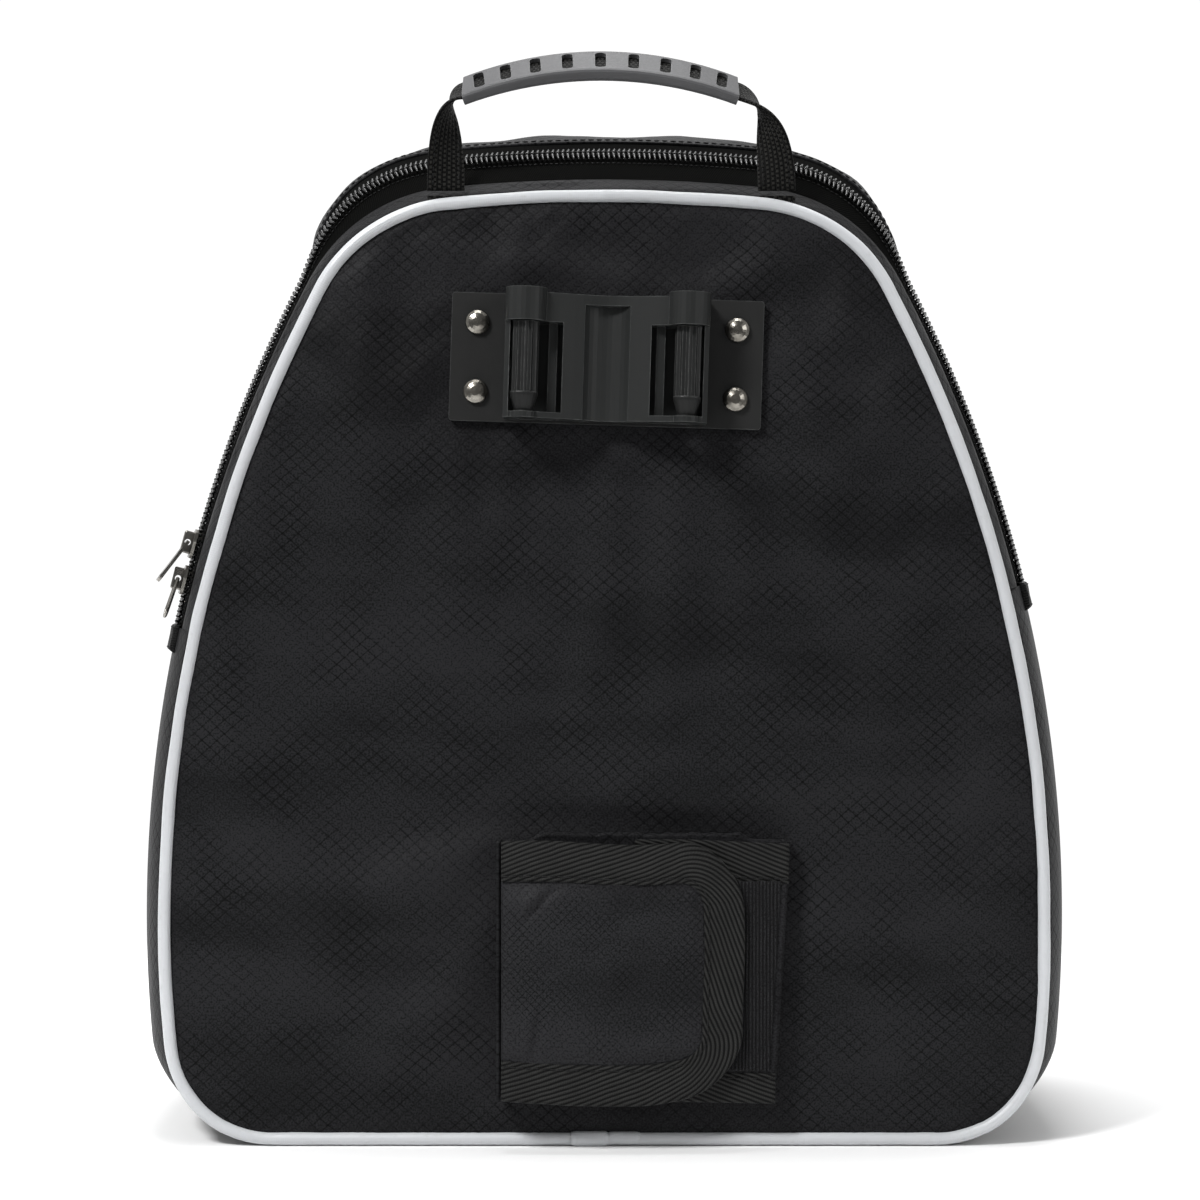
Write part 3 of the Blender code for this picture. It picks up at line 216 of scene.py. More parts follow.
def lower_seam(left, right):
    """From a height on the left side down round the base to a height on the right side."""
    return chained([mirrored(half_seam(None, left)), half_seam(None, right)])


def upper_seam(right, left):
    """From a height on the right side up over the top to a height on the left side."""
    return chained([half_seam(right), mirrored(half_seam(left))])


def whole_seam(step):
    """Stations all the way round, from the middle of the base and counter-clockwise."""
    return np.concatenate([half_seam(step=step), mirrored(half_seam(step=step))[1:-1]])


# The gusset


def depth_at(height):
    """The bag's depth at a height on the seam: the back leans forward."""
    return DEPTH_BOTTOM - (DEPTH_BOTTOM - DEPTH_TOP) * height / SEAM_HEIGHT


def sections(stations):
    """The gusset's section at every station: [station, section index, (bulge, depth)]."""
    top = smooth((stations[:, 3] - TOP_BLEND[0]) / (TOP_BLEND[1] - TOP_BLEND[0]))
    base = smooth((-stations[:, 3] - BASE_BLEND[0]) / (BASE_BLEND[1] - BASE_BLEND[0]))
    shares = np.stack([top, 1.0 - top - base, base], axis=1)
    tables = np.array([TOP_SECTION, SIDE_SECTION, BASE_SECTION])
    made = np.einsum("ns,skv->nkv", shares, tables)
    depth = depth_at(stations[:, 1])
    made[:, METRE_SECTIONS:, 1] *= depth[:, None]
    edge = joined(REAR_EDGE[0], depth - REAR_EDGE[1])
    return np.concatenate([made, edge[:, None, :]], axis=1)


def on_sections(table, k):
    """The sections' smooth curves at one index: [station, (bulge, depth)]."""
    k = min(max(k, 0.0), LAST_SECTION)
    i = min(int(k), LAST_SECTION - 1)
    t = k - i
    a, b, c, d = (table[:, min(max(i + n, 0), LAST_SECTION)] for n in (-1, 0, 1, 2))
    return b + 0.5 * t * (c - a + t * (2 * a - 5 * b + 4 * c - d + t * (3 * (b - c) + d - a)))


def gusset(stations, ks):
    """Places on the gusset and the way out of it: two arrays [station, k, xyz]."""
    table = sections(stations)
    x, height, out_x, out_h = (stations[:, i, None] for i in range(4))
    step = 0.05
    here = np.stack([on_sections(table, k) for k in ks], axis=1)
    ahead = np.stack([on_sections(table, k + step) for k in ks], axis=1)
    behind = np.stack([on_sections(table, k - step) for k in ks], axis=1)
    rate = unit(ahead - behind)
    bulge = here[..., 0]
    place = joined(x + out_x * bulge, FRONT + here[..., 1], FOOT + height + out_h * bulge)
    return place, joined(out_x * rate[..., 1], -rate[..., 0], out_h * rate[..., 1])


# Meshes


def linked(name, data):
    """A new object in the scene that carries the data."""
    made = bpy.data.objects.new(name, data)
    bpy.context.scene.collection.objects.link(made)
    return made


def new_piece(name, vertices, faces, looks, uv=None, second=None):
    """A smooth mesh: looks are its materials, and second marks the faces of the second one."""
    data = bpy.data.meshes.new(name)
    data.from_pydata(vertices.reshape(-1, 3).tolist(), [], faces)
    for look in looks:
        data.materials.append(look)
    if second is not None:
        data.polygons.foreach_set("material_index", second.astype(np.int32))
    if uv is not None:
        layer = data.uv_layers.new(name="metric")
        loops = np.zeros(len(data.loops), np.int32)
        data.loops.foreach_get("vertex_index", loops)
        layer.data.foreach_set("uv", uv.reshape(-1, 2).astype(np.float32)[loops].ravel())
    shape = bmesh.new()
    shape.from_mesh(data)
    bmesh.ops.recalc_face_normals(shape, faces=shape.faces)
    shape.to_mesh(data)
    shape.free()
    data.polygons.foreach_set("use_smooth", np.ones(len(data.polygons), bool))
    return linked(name, data)


def quads(index):
    """The faces between neighbours in a grid of point numbers."""
    corners = [index[:-1, :-1], index[:-1, 1:], index[1:, 1:], index[1:, :-1]]
    return np.stack([c.ravel() for c in corners], axis=1)


def shell(name, outer, inner, uv, looks):
    """A closed thin shell from two grids of points, lined on its inner side."""
    rows, columns = outer.shape[:2]
    size = rows * columns
    index = np.arange(size).reshape(rows, columns)
    outside = quads(index)
    rim = np.concatenate([index[0], index[1:, -1], index[-1, -2::-1], index[-2:0:-1, 0]])
    following = np.roll(rim, -1)
    sides = np.stack([rim, following, following + size, rim + size], axis=1)
    faces = np.concatenate([outside, outside[:, ::-1] + size, sides])
    lined = np.zeros(len(faces), int)
    lined[len(outside):2 * len(outside)] = len(looks) - 1
    return new_piece(name, np.stack([outer, inner]), faces.tolist(), looks, np.stack([uv, uv]), lined)


def swept(name, centres, across, up, section, looks, closed=False):
    """A solid swept along points: section is a closed loop of (across, up), or one loop a point."""
    section = np.broadcast_to(np.asarray(section, float), (len(centres), *np.shape(section)[-2:]))
    rows, sides = section.shape[:2]
    points = centres[:, None] + across[:, None] * section[..., :1] + up[:, None] * section[..., 1:]
    index = np.arange(rows * sides).reshape(rows, sides)
    ring = np.concatenate([index, index[:, :1]], axis=1)
    if closed:
        ring = np.concatenate([ring, ring[:1]])
    faces = quads(ring).tolist()
    if not closed:
        faces += [index[0][::-1].tolist(), index[-1].tolist()]
    rim = run_along(np.concatenate([section[0], section[0][:1]]))[:sides]
    return new_piece(name, points, faces, looks, joined(run_along(centres)[:, None], rim))


def circle(sides):
    """A round section of radius 1."""
    angles = np.arange(sides) * math.tau / sides
    return joined(np.cos(angles), np.sin(angles))


def ribbon_section(width, thickness):
    """A strap's section: flat, with rounded edges and slightly raised selvedges."""
    steps = 8
    half = thickness / 2
    xs = np.linspace(-width / 2 + half, width / 2 - half, steps + 1)
    raised = half * (1 + 0.25 * smooth((np.abs(xs) - width * 0.36) / (width * 0.10)))
    shoulder = width / 2 - half * 0.3
    right = np.array([(shoulder, half * 0.7), (width / 2, 0.0), (shoulder, -half * 0.7)])
    return np.concatenate([joined(xs, raised), right, joined(xs[::-1], -raised[::-1]), -right])


def grains(name, centres, along, across, up, length, widths, heights, look):
    """Many small rounded bars as one piece: stitches, or the teeth of a zip.

    Each bar lies along a direction, with a width and height at every ring of its length.
    """
    sides = 8
    rings = len(widths)
    angles = np.arange(sides) * math.tau / sides
    t = np.linspace(-0.5, 0.5, rings)
    wide = np.asarray(widths)[:, None] * np.cos(angles)
    high = np.asarray(heights)[:, None] * np.sin(angles)
    points = (
        centres[:, None, None]
        + along[:, None, None] * (t * length)[None, :, None, None]
        + across[:, None, None] * wide[None, ..., None]
        + up[:, None, None] * high[None, ..., None]
    )
    index = np.arange(rings * sides).reshape(rings, sides)
    wrap = np.arange(rings)[:-1] * sides
    seam = np.stack([wrap + sides - 1, wrap, wrap + sides, wrap + 2 * sides - 1], axis=1)
    caps = [index[0][::-1].tolist(), index[-1].tolist()]
    one = [*quads(index).tolist(), *seam.tolist(), *caps]
    faces = [[v + index.size * i for v in face] for i in range(len(centres)) for face in one]
    return new_piece(name, points, faces, [look])


def spaced(points, others, gap):
    """Points, directions and other arrays sampled at equal distances along a line."""
    run = run_along(points)
    count = max(2, int(run[-1] / gap))
    marks = (np.arange(count) + 0.5) * run[-1] / count
    reach = 0.0004

    def at(values, shift=0.0):
        return joined(*[np.interp(marks + shift, run, column) for column in values.T])

    along = unit(at(points, reach) - at(points, -reach))
    return at(points), along, [at(values) for values in others]


def stitches(name, points, normals, look, gap=0.0034, length=0.0024, thread=0.00034):
    """A row of stitches along a line of points on a surface."""
    centres, along, (up,) = spaced(points, [normals], gap)
    up = unit(up)
    across = np.cross(along, up)
    widths = np.array([0.35, 0.9, 1.0, 0.9, 0.35]) * thread
    return grains(name, centres, along, across, up, length, widths, widths * 0.9, look)


# Materials


class Look:
    """A Principled material and short names for the nodes that feed it."""

    def __init__(self, name, roughness, **constants):
        self.material = bpy.data.materials.new(name)
        self.material.use_nodes = True
        self.nodes = self.material.node_tree.nodes
        self.links = self.material.node_tree.links
        self.shader = self.nodes["Principled BSDF"]
        self.shader.inputs["Roughness"].default_value = roughness
        for key, value in constants.items():
            self.shader.inputs[key.replace("_", " ")].default_value = value

    def feed(self, socket, value):
        """Links a socket into an input, or sets the input to a constant."""
        if isinstance(value, bpy.types.NodeSocket):
            self.links.new(value, socket)
        else:
            socket.default_value = value

    def add(self, kind, inputs, output=0, **settings):
        """A new node, fed and set up; returns one of its outputs."""
        made = self.nodes.new("ShaderNode" + kind)
        for key, value in settings.items():
            setattr(made, key, value)
        for key, value in inputs.items():
            self.feed(made.inputs[key], value)
        return made.outputs[output]

    def calc(self, operation, *values):
        return self.add("Math", dict(enumerate(values)), operation=operation)

    def times(self, first, second):
        return self.calc("MULTIPLY", first, second)

    def plus(self, first, second):
        return self.calc("ADD", first, second)

    def scaled(self, value, factor, shift):
        return self.calc("MULTIPLY_ADD", value, factor, shift)

    def split(self, where):
        """A vector and its three parts."""
        parts = self.nodes.new("ShaderNodeSeparateXYZ")
        self.links.new(where, parts.inputs[0])
        return [where, *parts.outputs]

    def metric(self):
        """The piece's own cloth coordinates in metres: a vector, its length and its width."""
        return self.split(self.add("UVMap", {}, uv_map="metric"))[:3]

    def place(self):
        """The place in the object's own frame, in metres: a vector and its three parts."""
        return self.split(self.add("TexCoord", {}, output=3))

    def noise(self, where, scale, detail=2.0, roughness=0.5):
        inputs = {"Vector": where, "Scale": scale, "Detail": detail, "Roughness": roughness}
        return self.add("TexNoise", inputs)

    def span(self, value, low, high, first=0.0, last=1.0):
        """A smooth change from one value to another as an input passes from low to high."""
        inputs = {0: value, 1: low, 2: high, 3: first, 4: last}
        return self.add("MapRange", inputs, interpolation_type="SMOOTHSTEP")

    def wave(self, value, pitch):
        """A wave from 0 to 1 of a given pitch in metres."""
        turned = self.calc("SINE", self.times(value, math.tau / pitch))
        return self.scaled(turned, 0.5, 0.5)

    def mix(self, share, first, last):
        """A colour between two colours."""

        def colour(value):
            return value if isinstance(value, bpy.types.NodeSocket) else (*value, 1.0)

        inputs = {0: share, 6: colour(first), 7: colour(last)}
        return self.add("Mix", inputs, output=2, data_type="RGBA")

    def bump(self, height, distance, normal=None):
        """A normal pressed in and out by a height, on top of another normal where one is given."""
        inputs = {"Height": height, "Distance": distance}
        if normal:
            inputs["Normal"] = normal
        return self.add("Bump", inputs)

    def finish(self, colour, normal=None, roughness=None):
        """Feeds the shader and returns the material."""
        self.feed(self.shader.inputs["Base Color"], colour)
        if normal:
            self.feed(self.shader.inputs["Normal"], normal)
        if roughness:
            self.feed(self.shader.inputs["Roughness"], roughness)
        return self.material


def ripstop_look(name="ripstop_cloth", wide=0.0063, tall=0.0055, lift=1.0):
    """Dark cloth woven in rounded diamonds, with a fine thread in each, and painted sheen: soft diagonal
    streaks of paler colour where folds would catch the light.
    """
    look = Look(name, 0.55, Specular_IOR_Level=0.07, Sheen_Weight=0.02, Sheen_Roughness=0.4)
    where, u, v = look.metric()
    drift = look.scaled(look.noise(where, 55.0), 0.36, -0.18)
    across = look.plus(look.calc("DIVIDE", u, wide), drift)
    upward = look.plus(look.calc("DIVIDE", v, tall), look.times(drift, 0.5))
    one = look.calc("PINGPONG", look.plus(across, upward), 0.5)
    other = look.calc("PINGPONG", look.calc("SUBTRACT", across, upward), 0.5)
    edge = look.calc("SMOOTH_MIN", one, other, 0.22)
    worn = look.span(look.noise(where, 42.0, 2.0), 0.34, 0.66, 0.25, 1.0)
    line = look.times(look.span(edge, -0.05, 0.13, 1.0, 0.0), worn)
    cell = look.calc("SUBTRACT", 1.0, line)
    thread = look.times(look.wave(u, 0.00042), look.wave(v, 0.00042))
    # Painted sheen: long diagonal streaks of noise raise and lower the cloth's colour, standing in for
    # light caught on soft folds.
    fold_sheen_streaks = {"Vector": where, "Rotation": (0.0, 0.0, 0.75), "Scale": (10.0, 27.0, 1.0)}
    drawn = look.add("Mapping", fold_sheen_streaks)
    tone = look.span(look.noise(drawn, 1.0, 3.0), 0.30, 0.70, 0.52, 1.18)
    fleck = look.span(look.noise(where, 1300.0, 1.0), 0.25, 0.75, 0.30, 1.45)
    dark = (0.0005 * lift, 0.0005 * lift, 0.0006 * lift)
    pale = (0.0172 * lift, 0.0172 * lift, 0.0186 * lift)
    # The cell share carries the painted sheen streaks as well as the weave and the flecks.
    share = look.times(look.times(cell, tone), fleck)
    colour = look.mix(share, dark, pale)
    fine = look.bump(thread, 0.00005)
    padded = look.bump(look.span(edge, -0.02, 0.20), 0.00007, fine)
    rough = look.span(cell, 0.0, 1.0, 0.70, 0.45)
    return look.finish(colour, padded, rough)


def lining_look():
    """Plain dark lining cloth."""
    look = Look("lining_cloth", 0.7, Specular_IOR_Level=0.3)
    where, u, v = look.metric()
    thread = look.times(look.wave(u, 0.0007), look.wave(v, 0.0007))
    mottle = look.noise(where, 30.0, 3.0)
    colour = look.mix(mottle, (0.012, 0.012, 0.013), (0.030, 0.030, 0.032))
    return look.finish(colour, look.bump(thread, 0.00006))


def piping_look():
    """Pale coated cord: fine lengthwise ribs, dust and small scuffs."""
    look = Look("piping_coat", 0.36, Specular_IOR_Level=0.5, Coat_Weight=0.12, Coat_Roughness=0.3)
    where, u, v = look.metric()
    ribs = look.wave(v, 0.0011)
    weave = look.times(look.wave(u, 0.0009), ribs)
    dust = look.noise(where, 260.0, 4.0, 0.6)
    stain = look.noise(where, 18.0, 3.0)
    clean = look.mix(stain, (0.56, 0.575, 0.595), (0.49, 0.50, 0.515))
    colour = look.mix(look.span(dust, 0.55, 0.80, 0.0, 0.5), clean, (0.42, 0.42, 0.42))
    rough = look.span(dust, 0.3, 0.8, 0.30, 0.50)
    return look.finish(colour, look.bump(weave, 0.00005), rough)


def webbing_look(name, dark, pale, pitch):
    """Heavy woven strap: staggered ribs across and cords along."""
    look = Look(name, 0.6, Specular_IOR_Level=0.08, Sheen_Weight=0.04, Sheen_Roughness=0.5)
    where, u, v = look.metric()
    row = look.calc("FLOOR", look.calc("DIVIDE", v, pitch))
    shift = look.times(look.calc("MODULO", row, 2.0), pitch / 2)
    along = look.wave(look.plus(u, shift), pitch)
    cord = look.wave(v, pitch)
    knit = look.times(look.span(along, 0.0, 0.8), look.span(cord, 0.0, 0.7))
    fuzz = look.noise(where, 2600.0, 2.0)
    share = look.times(knit, look.scaled(look.noise(where, 60.0, 3.0), 0.8, 0.6))
    colour = look.mix(share, dark, pale)
    soft = look.bump(fuzz, 0.00004)
    return look.finish(colour, look.bump(knit, 0.00045, soft))


def twill_look(name, degrees):
    """Binding tape in a bold twill: long ribs at a low slant to its length."""
    look = Look(name, 0.6, Specular_IOR_Level=0.12, Sheen_Weight=0.03, Sheen_Roughness=0.4)
    where, u, v = look.metric()
    slant = math.radians(degrees)
    bend = look.scaled(look.noise(where, 60.0), 0.0012, -0.0006)
    level = look.plus(look.scaled(u, math.sin(slant), bend), look.times(v, math.cos(slant)))
    rib = look.wave(level, 0.00175)
    cross = look.wave(look.calc("SUBTRACT", u, look.times(v, 0.4)), 0.0008)
    knot = look.times(look.span(rib, 0.10, 0.80), look.scaled(cross, 0.4, 0.6))
    tone = look.scaled(look.noise(where, 90.0, 3.0), 0.9, 0.55)
    colour = look.mix(look.times(knot, tone), (0.0005, 0.0005, 0.0005), (0.0260, 0.0262, 0.0250))
    fine = look.bump(cross, 0.00006)
    return look.finish(colour, look.bump(rib, 0.00030, fine))


def tape_look():
    """The zip's woven tape: a fine twill."""
    look = Look("zip_tape_weave", 0.8, Specular_IOR_Level=0.02)
    where, u, v = look.metric()
    rib = look.wave(look.scaled(v, 0.6, u), 0.0009)
    thread = look.wave(v, 0.0005)
    tone = look.scaled(look.noise(where, 60.0, 2.0), 0.8, 0.6)
    colour = look.mix(look.times(rib, tone), (0.0005, 0.0005, 0.0005), (0.0036, 0.0037, 0.0033))
    fine = look.bump(thread, 0.00003)
    return look.finish(colour, look.bump(rib, 0.00010, fine))


def hook_look():
    """Hook-and-loop tape: a matt pile with rows of tiny hooks."""
    look = Look("hook_and_loop_pile", 0.85, Specular_IOR_Level=0.06, Sheen_Weight=0.04, Sheen_Roughness=0.6)
    where, x, *_ = look.place()
    rows = look.wave(x, 0.0014)
    pile = look.noise(where, 2400.0, 3.0, 0.7)
    share = look.times(look.span(pile, 0.35, 0.65), look.scaled(rows, 0.8, 0.2))
    colour = look.mix(share, (0.0006, 0.0006, 0.0006), (0.0300, 0.0300, 0.0320))
    fine = look.bump(pile, 0.00025)
    return look.finish(colour, look.bump(rows, 0.00015, fine))


def nylon_look():
    """The zip's coil: glossy dark nylon."""
    look = Look("zip_coil_nylon", 0.24, Specular_IOR_Level=0.45)
    where, *_ = look.place()
    dust = look.span(look.noise(where, 420.0, 4.0), 0.45, 0.8)
    colour = look.mix(dust, (0.0040, 0.0040, 0.0040), (0.0150, 0.0150, 0.0148))
    grain = look.bump(look.noise(where, 1500.0, 2.0), 0.00003)
    return look.finish(colour, grain, look.span(dust, 0.0, 1.0, 0.2, 0.4))


def thread_look(name, dark, pale):
    """Twisted sewing thread."""
    look = Look(name, 0.5, Specular_IOR_Level=0.2)
    _, x, y, z = look.place()
    twist = look.wave(look.plus(x, look.scaled(z, 1.0, y)), 0.0005)
    colour = look.mix(twist, dark, pale)
    return look.finish(colour, look.bump(twist, 0.00006))


def plastic_look(name, dark, pale, roughness, gloss, edge_highlight_colour, grain=1400.0):
    """Moulded plastic: a fine sparked grain, faint flow marks and a painted highlight that makes the edges
    paler in patches.
    """
    look = Look(name, roughness, Specular_IOR_Level=gloss)
    where, *_ = look.place()
    spark = look.noise(where, grain, 2.0, 0.6)
    flow = look.noise(where, 45.0, 3.0)
    colour = look.mix(flow, dark, pale)
    # Painted highlight: edges found by the Bevel node are mixed towards a paler colour, broken into patches
    # by noise.
    rounded = look.add("Bevel", {"Radius": 0.0005}, samples=6)
    facing = look.add("NewGeometry", {}, output=1)
    turned = look.add("VectorMath", {0: rounded, 1: facing}, output=1, operation="DOT_PRODUCT")
    painted_edge_highlight = look.span(turned, 0.90, 0.995, 1.0, 0.0)
    highlight_patches = look.span(look.noise(where, 260.0, 4.0, 0.7), 0.40, 0.65)
    colour = look.mix(look.times(painted_edge_highlight, look.scaled(highlight_patches, 0.6, 0.4)), colour, edge_highlight_colour)
    fine = look.span(spark, 0.3, 0.7, roughness - 0.05, roughness + 0.06)
    return look.finish(colour, look.bump(spark, 0.00004), fine)


def metal_look(name, bright, dull, roughness):
    """Plated metal: brushed a little, tarnished in patches, with tiny pits."""
    look = Look(name, roughness, Metallic=1.0)
    where, *_ = look.place()
    patina = look.span(look.noise(where, 150.0, 2.0, 0.5), 0.30, 0.75)
    colour = look.mix(patina, bright, dull)
    rough = look.span(patina, 0.0, 1.0, roughness, roughness + 0.10)
    pits = look.span(look.noise(where, 2600.0, 2.0), 0.64, 0.80)
    return look.finish(colour, look.bump(pits, 0.00001), rough)


def board_look():
    """The base board: pressed fibre with a faint grain."""
    look = Look("base_board_fibre", 0.6)
    where, *_ = look.place()
    stretched = look.add("Mapping", {"Vector": where, "Scale": (60.0, 700.0, 700.0)})
    grain = look.noise(stretched, 1.0, 4.0)
    colour = look.mix(grain, (0.018, 0.018, 0.019), (0.060, 0.060, 0.062))
    return look.finish(colour, look.bump(grain, 0.00010))


def floor_look():
    """The studio's pale floor."""
    look = Look("studio_floor", 0.9, Specular_IOR_Level=0.1)
    where, *_ = look.place()
    colour = look.mix(look.noise(where, 3.0, 2.0), (0.93, 0.93, 0.93), (0.96, 0.96, 0.96))
    return look.finish(colour)


RIPSTOP = ripstop_look()
PLAIN = ripstop_look("flap_cloth_fine", 0.0034, 0.0034, 1.25)
LINING = lining_look()
PIPING = piping_look()
STRAP = webbing_look("handle_webbing_weave", (0.0004, 0.0004, 0.0004), (0.0200, 0.0195, 0.0175), 0.0019)
TAB = webbing_look("zip_tab_weave", (0.0020, 0.0020, 0.0020), (0.0120, 0.0120, 0.0120), 0.0010)
TWILL = twill_look("binding_twill", -20)
TWILL_BACK = twill_look("binding_twill_reversed", 20)
TAPE = tape_look()
PILE = hook_look()
NYLON = nylon_look()
THREAD = thread_look("sewing_thread", (0.0020, 0.0020, 0.0020), (0.0110, 0.0110, 0.0115))
# The last colour of each plastic is the colour of its painted edge highlight.
MOULDED = plastic_look(
    "clip_plastic", (0.0160, 0.0162, 0.0160), (0.0192, 0.0194, 0.0192), 0.45, 0.16, (0.085, 0.088, 0.086)
)
CRADLE = plastic_look(
    "cradle_plastic", (0.0155, 0.0164, 0.0161), (0.0190, 0.0200, 0.0197), 0.42, 0.22, (0.100, 0.104, 0.102)
)
ROLLER = plastic_look(
    "roller_plastic", (0.0110, 0.0114, 0.0113), (0.0150, 0.0154, 0.0152), 0.38, 0.22, (0.120, 0.122, 0.120)
)
GRIP = plastic_look(
    "grip_plastic_grain", (0.058, 0.058, 0.061), (0.082, 0.082, 0.085), 0.50, 0.26,
    (0.14, 0.14, 0.14), 1100.0,
)
NICKEL = metal_look("nickel_plate", (0.30, 0.285, 0.255), (0.20, 0.188, 0.165), 0.24)
GUNMETAL = metal_look("gunmetal_plate", (0.34, 0.325, 0.30), (0.12, 0.115, 0.105), 0.26)
BOARD = board_look()
CLOTH = [RIPSTOP, LINING]


# The frame's own nodes


def dress(node, look, edge=0.0, sharp=35.0):
    """Gives a CAD node its detailed material, and softened edges where it is moulded or stamped."""
    thing = NODES[node]
    thing.data.materials.clear()
    thing.data.materials.append(look)
    thing.data.polygons.foreach_set("use_smooth", np.ones(len(thing.data.polygons), bool))
    thing.data.set_sharp_from_angle(angle=math.radians(sharp))
    if edge:
        round_off = thing.modifiers.new("Edges", "BEVEL")
        round_off.width = edge
        round_off.segments = 2
        round_off.limit_method = "ANGLE"
        round_off.angle_limit = math.radians(sharp)
        round_off.use_clamp_overlap = True


def dress_hardware():
    """Dresses the CAD nodes that are seen as they are."""
    dress("clip_base_plate", MOULDED, 0.0003)
    dress("clip_cradle", CRADLE, 0.00022, 40.0)
    dress("handle_grip", GRIP, 0.0007, 40.0)
    dress("bottom_board", BOARD)
    for side in ("left", "right"):
        dress(f"grip_roller_{side}", ROLLER, 0.0, 50.0)
        dress(f"roller_pin_{side}", NICKEL)
    for index in range(1, 5):
        dress(f"clip_rivet_{index}", NICKEL, 0.0, 50.0)
        dress(f"rivet_washer_{index}", NICKEL)
    for name in ("slider_upper", "slider_lower", "pull_upper", "pull_lower"):
        dress(name, GUNMETAL, 0.00012, 40.0)


# Pieces: placing them and hiding the nodes they stand for


def stands_for(piece, slot, *nodes):
    """Hides the CAD nodes that a piece stands for and returns the piece; slot is not used."""
    if nodes:
        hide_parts(*nodes)
    return piece


def over_fold(piece):
    """Bakes a piece's placement into its mesh."""
    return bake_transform(piece)


# The front and back panels

ROW_STEP = 0.0024
COLUMNS = 150
SETTLING_STEPS = 20
CLOTH_EXCESS = 0.012
BACK_STITCH = 0.0085


def drawn_in(stations, inset):
    """The x and the height of a line that runs a distance inside the outline."""
    return stations[:, 0] - stations[:, 2] * inset, stations[:, 1] - stations[:, 3] * inset


def panel_rows(inset):
    """Rows of places across the seam outline: arrays of x and height, [row, column]."""
    stations = half_seam(step=ROW_STEP)
    start = round(FOOT_CENTRE[0] / ROW_STEP)
    stations = stations[start:]
    x, height = drawn_in(stations, inset)
    kept = x > 0.002
    across = np.linspace(-1.0, 1.0, COLUMNS + 1)
    return np.broadcast_arrays(x[kept, None] * across, height[kept, None])


def rim_distance(x, height, inset):
    """How far each place is from the outline."""
    line = joined(*drawn_in(whole_seam(0.004), inset))
    places = joined(x, height).reshape(-1, 2)
    batch = 4000
    found = []
    for i in range(0, len(places), batch):
        squares = ((places[i:i + batch, None] - line) ** 2).sum(2)
        found.append(np.sqrt(squares).min(1))
    return np.concatenate(found).reshape(x.shape)


def outside_box(x, z, low, high):
    """The distance outside an upright rectangle, 0 inside it."""
    dx = np.maximum(np.maximum(low.x - x, x - high.x), 0.0)
    dz = np.maximum(np.maximum(low.z - z, z - high.z), 0.0)
    return np.hypot(dx, dz)


def held_flat(x, z):
    """0 where the clip or the cuff holds the panel flat, 1 where it is free."""
    clip = outside_box(x, z, *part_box("clip_base_plate"))
    cuff = outside_box(x, z, *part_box("cuff_sleeve"))
    return smooth(clip / 0.022) * smooth(cuff / 0.022)


def settled(x, z, start, pinned):
    """How far a panel's cloth stands out once it has settled: a grid pinned where it is held.

    The cloth has a little excess over the space it fills, so it folds softly.
    """
    places = joined(x, -start, z).reshape(-1, 3)
    data = bpy.data.meshes.new("settling")
    data.from_pydata(places.tolist(), [], quads(np.arange(x.size).reshape(x.shape)).tolist())
    cloth = linked("settling", data)
    group = cloth.vertex_groups.new(name="held")
    for index, weight in enumerate(pinned.ravel()):
        group.add([index], float(weight), "REPLACE")
    change = cloth.modifiers.new("Cloth", "CLOTH")
    settings = change.settings
    settings.quality = 6
    settings.mass = 0.20
    settings.tension_stiffness = 25.0
    settings.compression_stiffness = 25.0
    settings.shear_stiffness = 8.0
    settings.bending_stiffness = 3.0
    settings.vertex_group_mass = "held"
    settings.shrink_min = -CLOTH_EXCESS
    settings.effector_weights.gravity = 0.35
    change.collision_settings.use_collision = False
    change.collision_settings.use_self_collision = False
    for step in range(1, SETTLING_STEPS + 1):
        bpy.context.scene.frame_set(step)
    graph = bpy.context.evaluated_depsgraph_get()
    shape = cloth.evaluated_get(graph).data
    found = np.zeros(len(shape.vertices) * 3)
    shape.vertices.foreach_get("co", found)
    bpy.context.scene.frame_set(1)
    bpy.data.objects.remove(cloth)
    return -found.reshape(*x.shape, 3)[..., 1]


def denser(values, rows, columns):
    """A coarse grid of values read at the points of a finer one, and smoothed."""
    old_rows, old_columns = values.shape
    down = np.linspace(0, old_rows - 1, rows)
    over = np.linspace(0, old_columns - 1, columns)
    first = np.stack([np.interp(over, np.arange(old_columns), row) for row in values])
    made = np.stack([np.interp(down, np.arange(old_rows), column) for column in first.T], axis=1)
    for _ in range(6):
        wide = np.pad(made, 1, mode="edge")
        made = (wide[1:-1, :-2] + wide[1:-1, 2:] + wide[:-2, 1:-1] + wide[2:, 1:-1] + 2 * made) / 6
    return made


def front_relief(x, z, rim):
    """How far the front panel stands out: a soft crown, folds and wrinkles between what holds it."""
    places = joined(x, FRONT, z)
    soft = ripple(places * (1.0, 1.0, 0.6), 0.075, 3.1) * 0.0016
    folds = ripple(places * (1.0, 1.0, 0.45), 0.030, 7.7) * 0.0006
    crown = 0.0020 * smooth(rim / 0.045) - 0.0006
    start = (crown + soft + folds) * held_flat(x, z) * smooth(rim / 0.010)
    coarse = (slice(None, None, 2), slice(None, None, 2))
    free = held_flat(x, z)[coarse]
    pinned = np.where((rim[coarse] < 0.0045) | (free < 0.02), 1.0, 0.0)
    moved = settled(x[coarse], z[coarse], start[coarse], pinned)
    return denser(np.clip(moved, -0.0022, 0.0048), *x.shape)


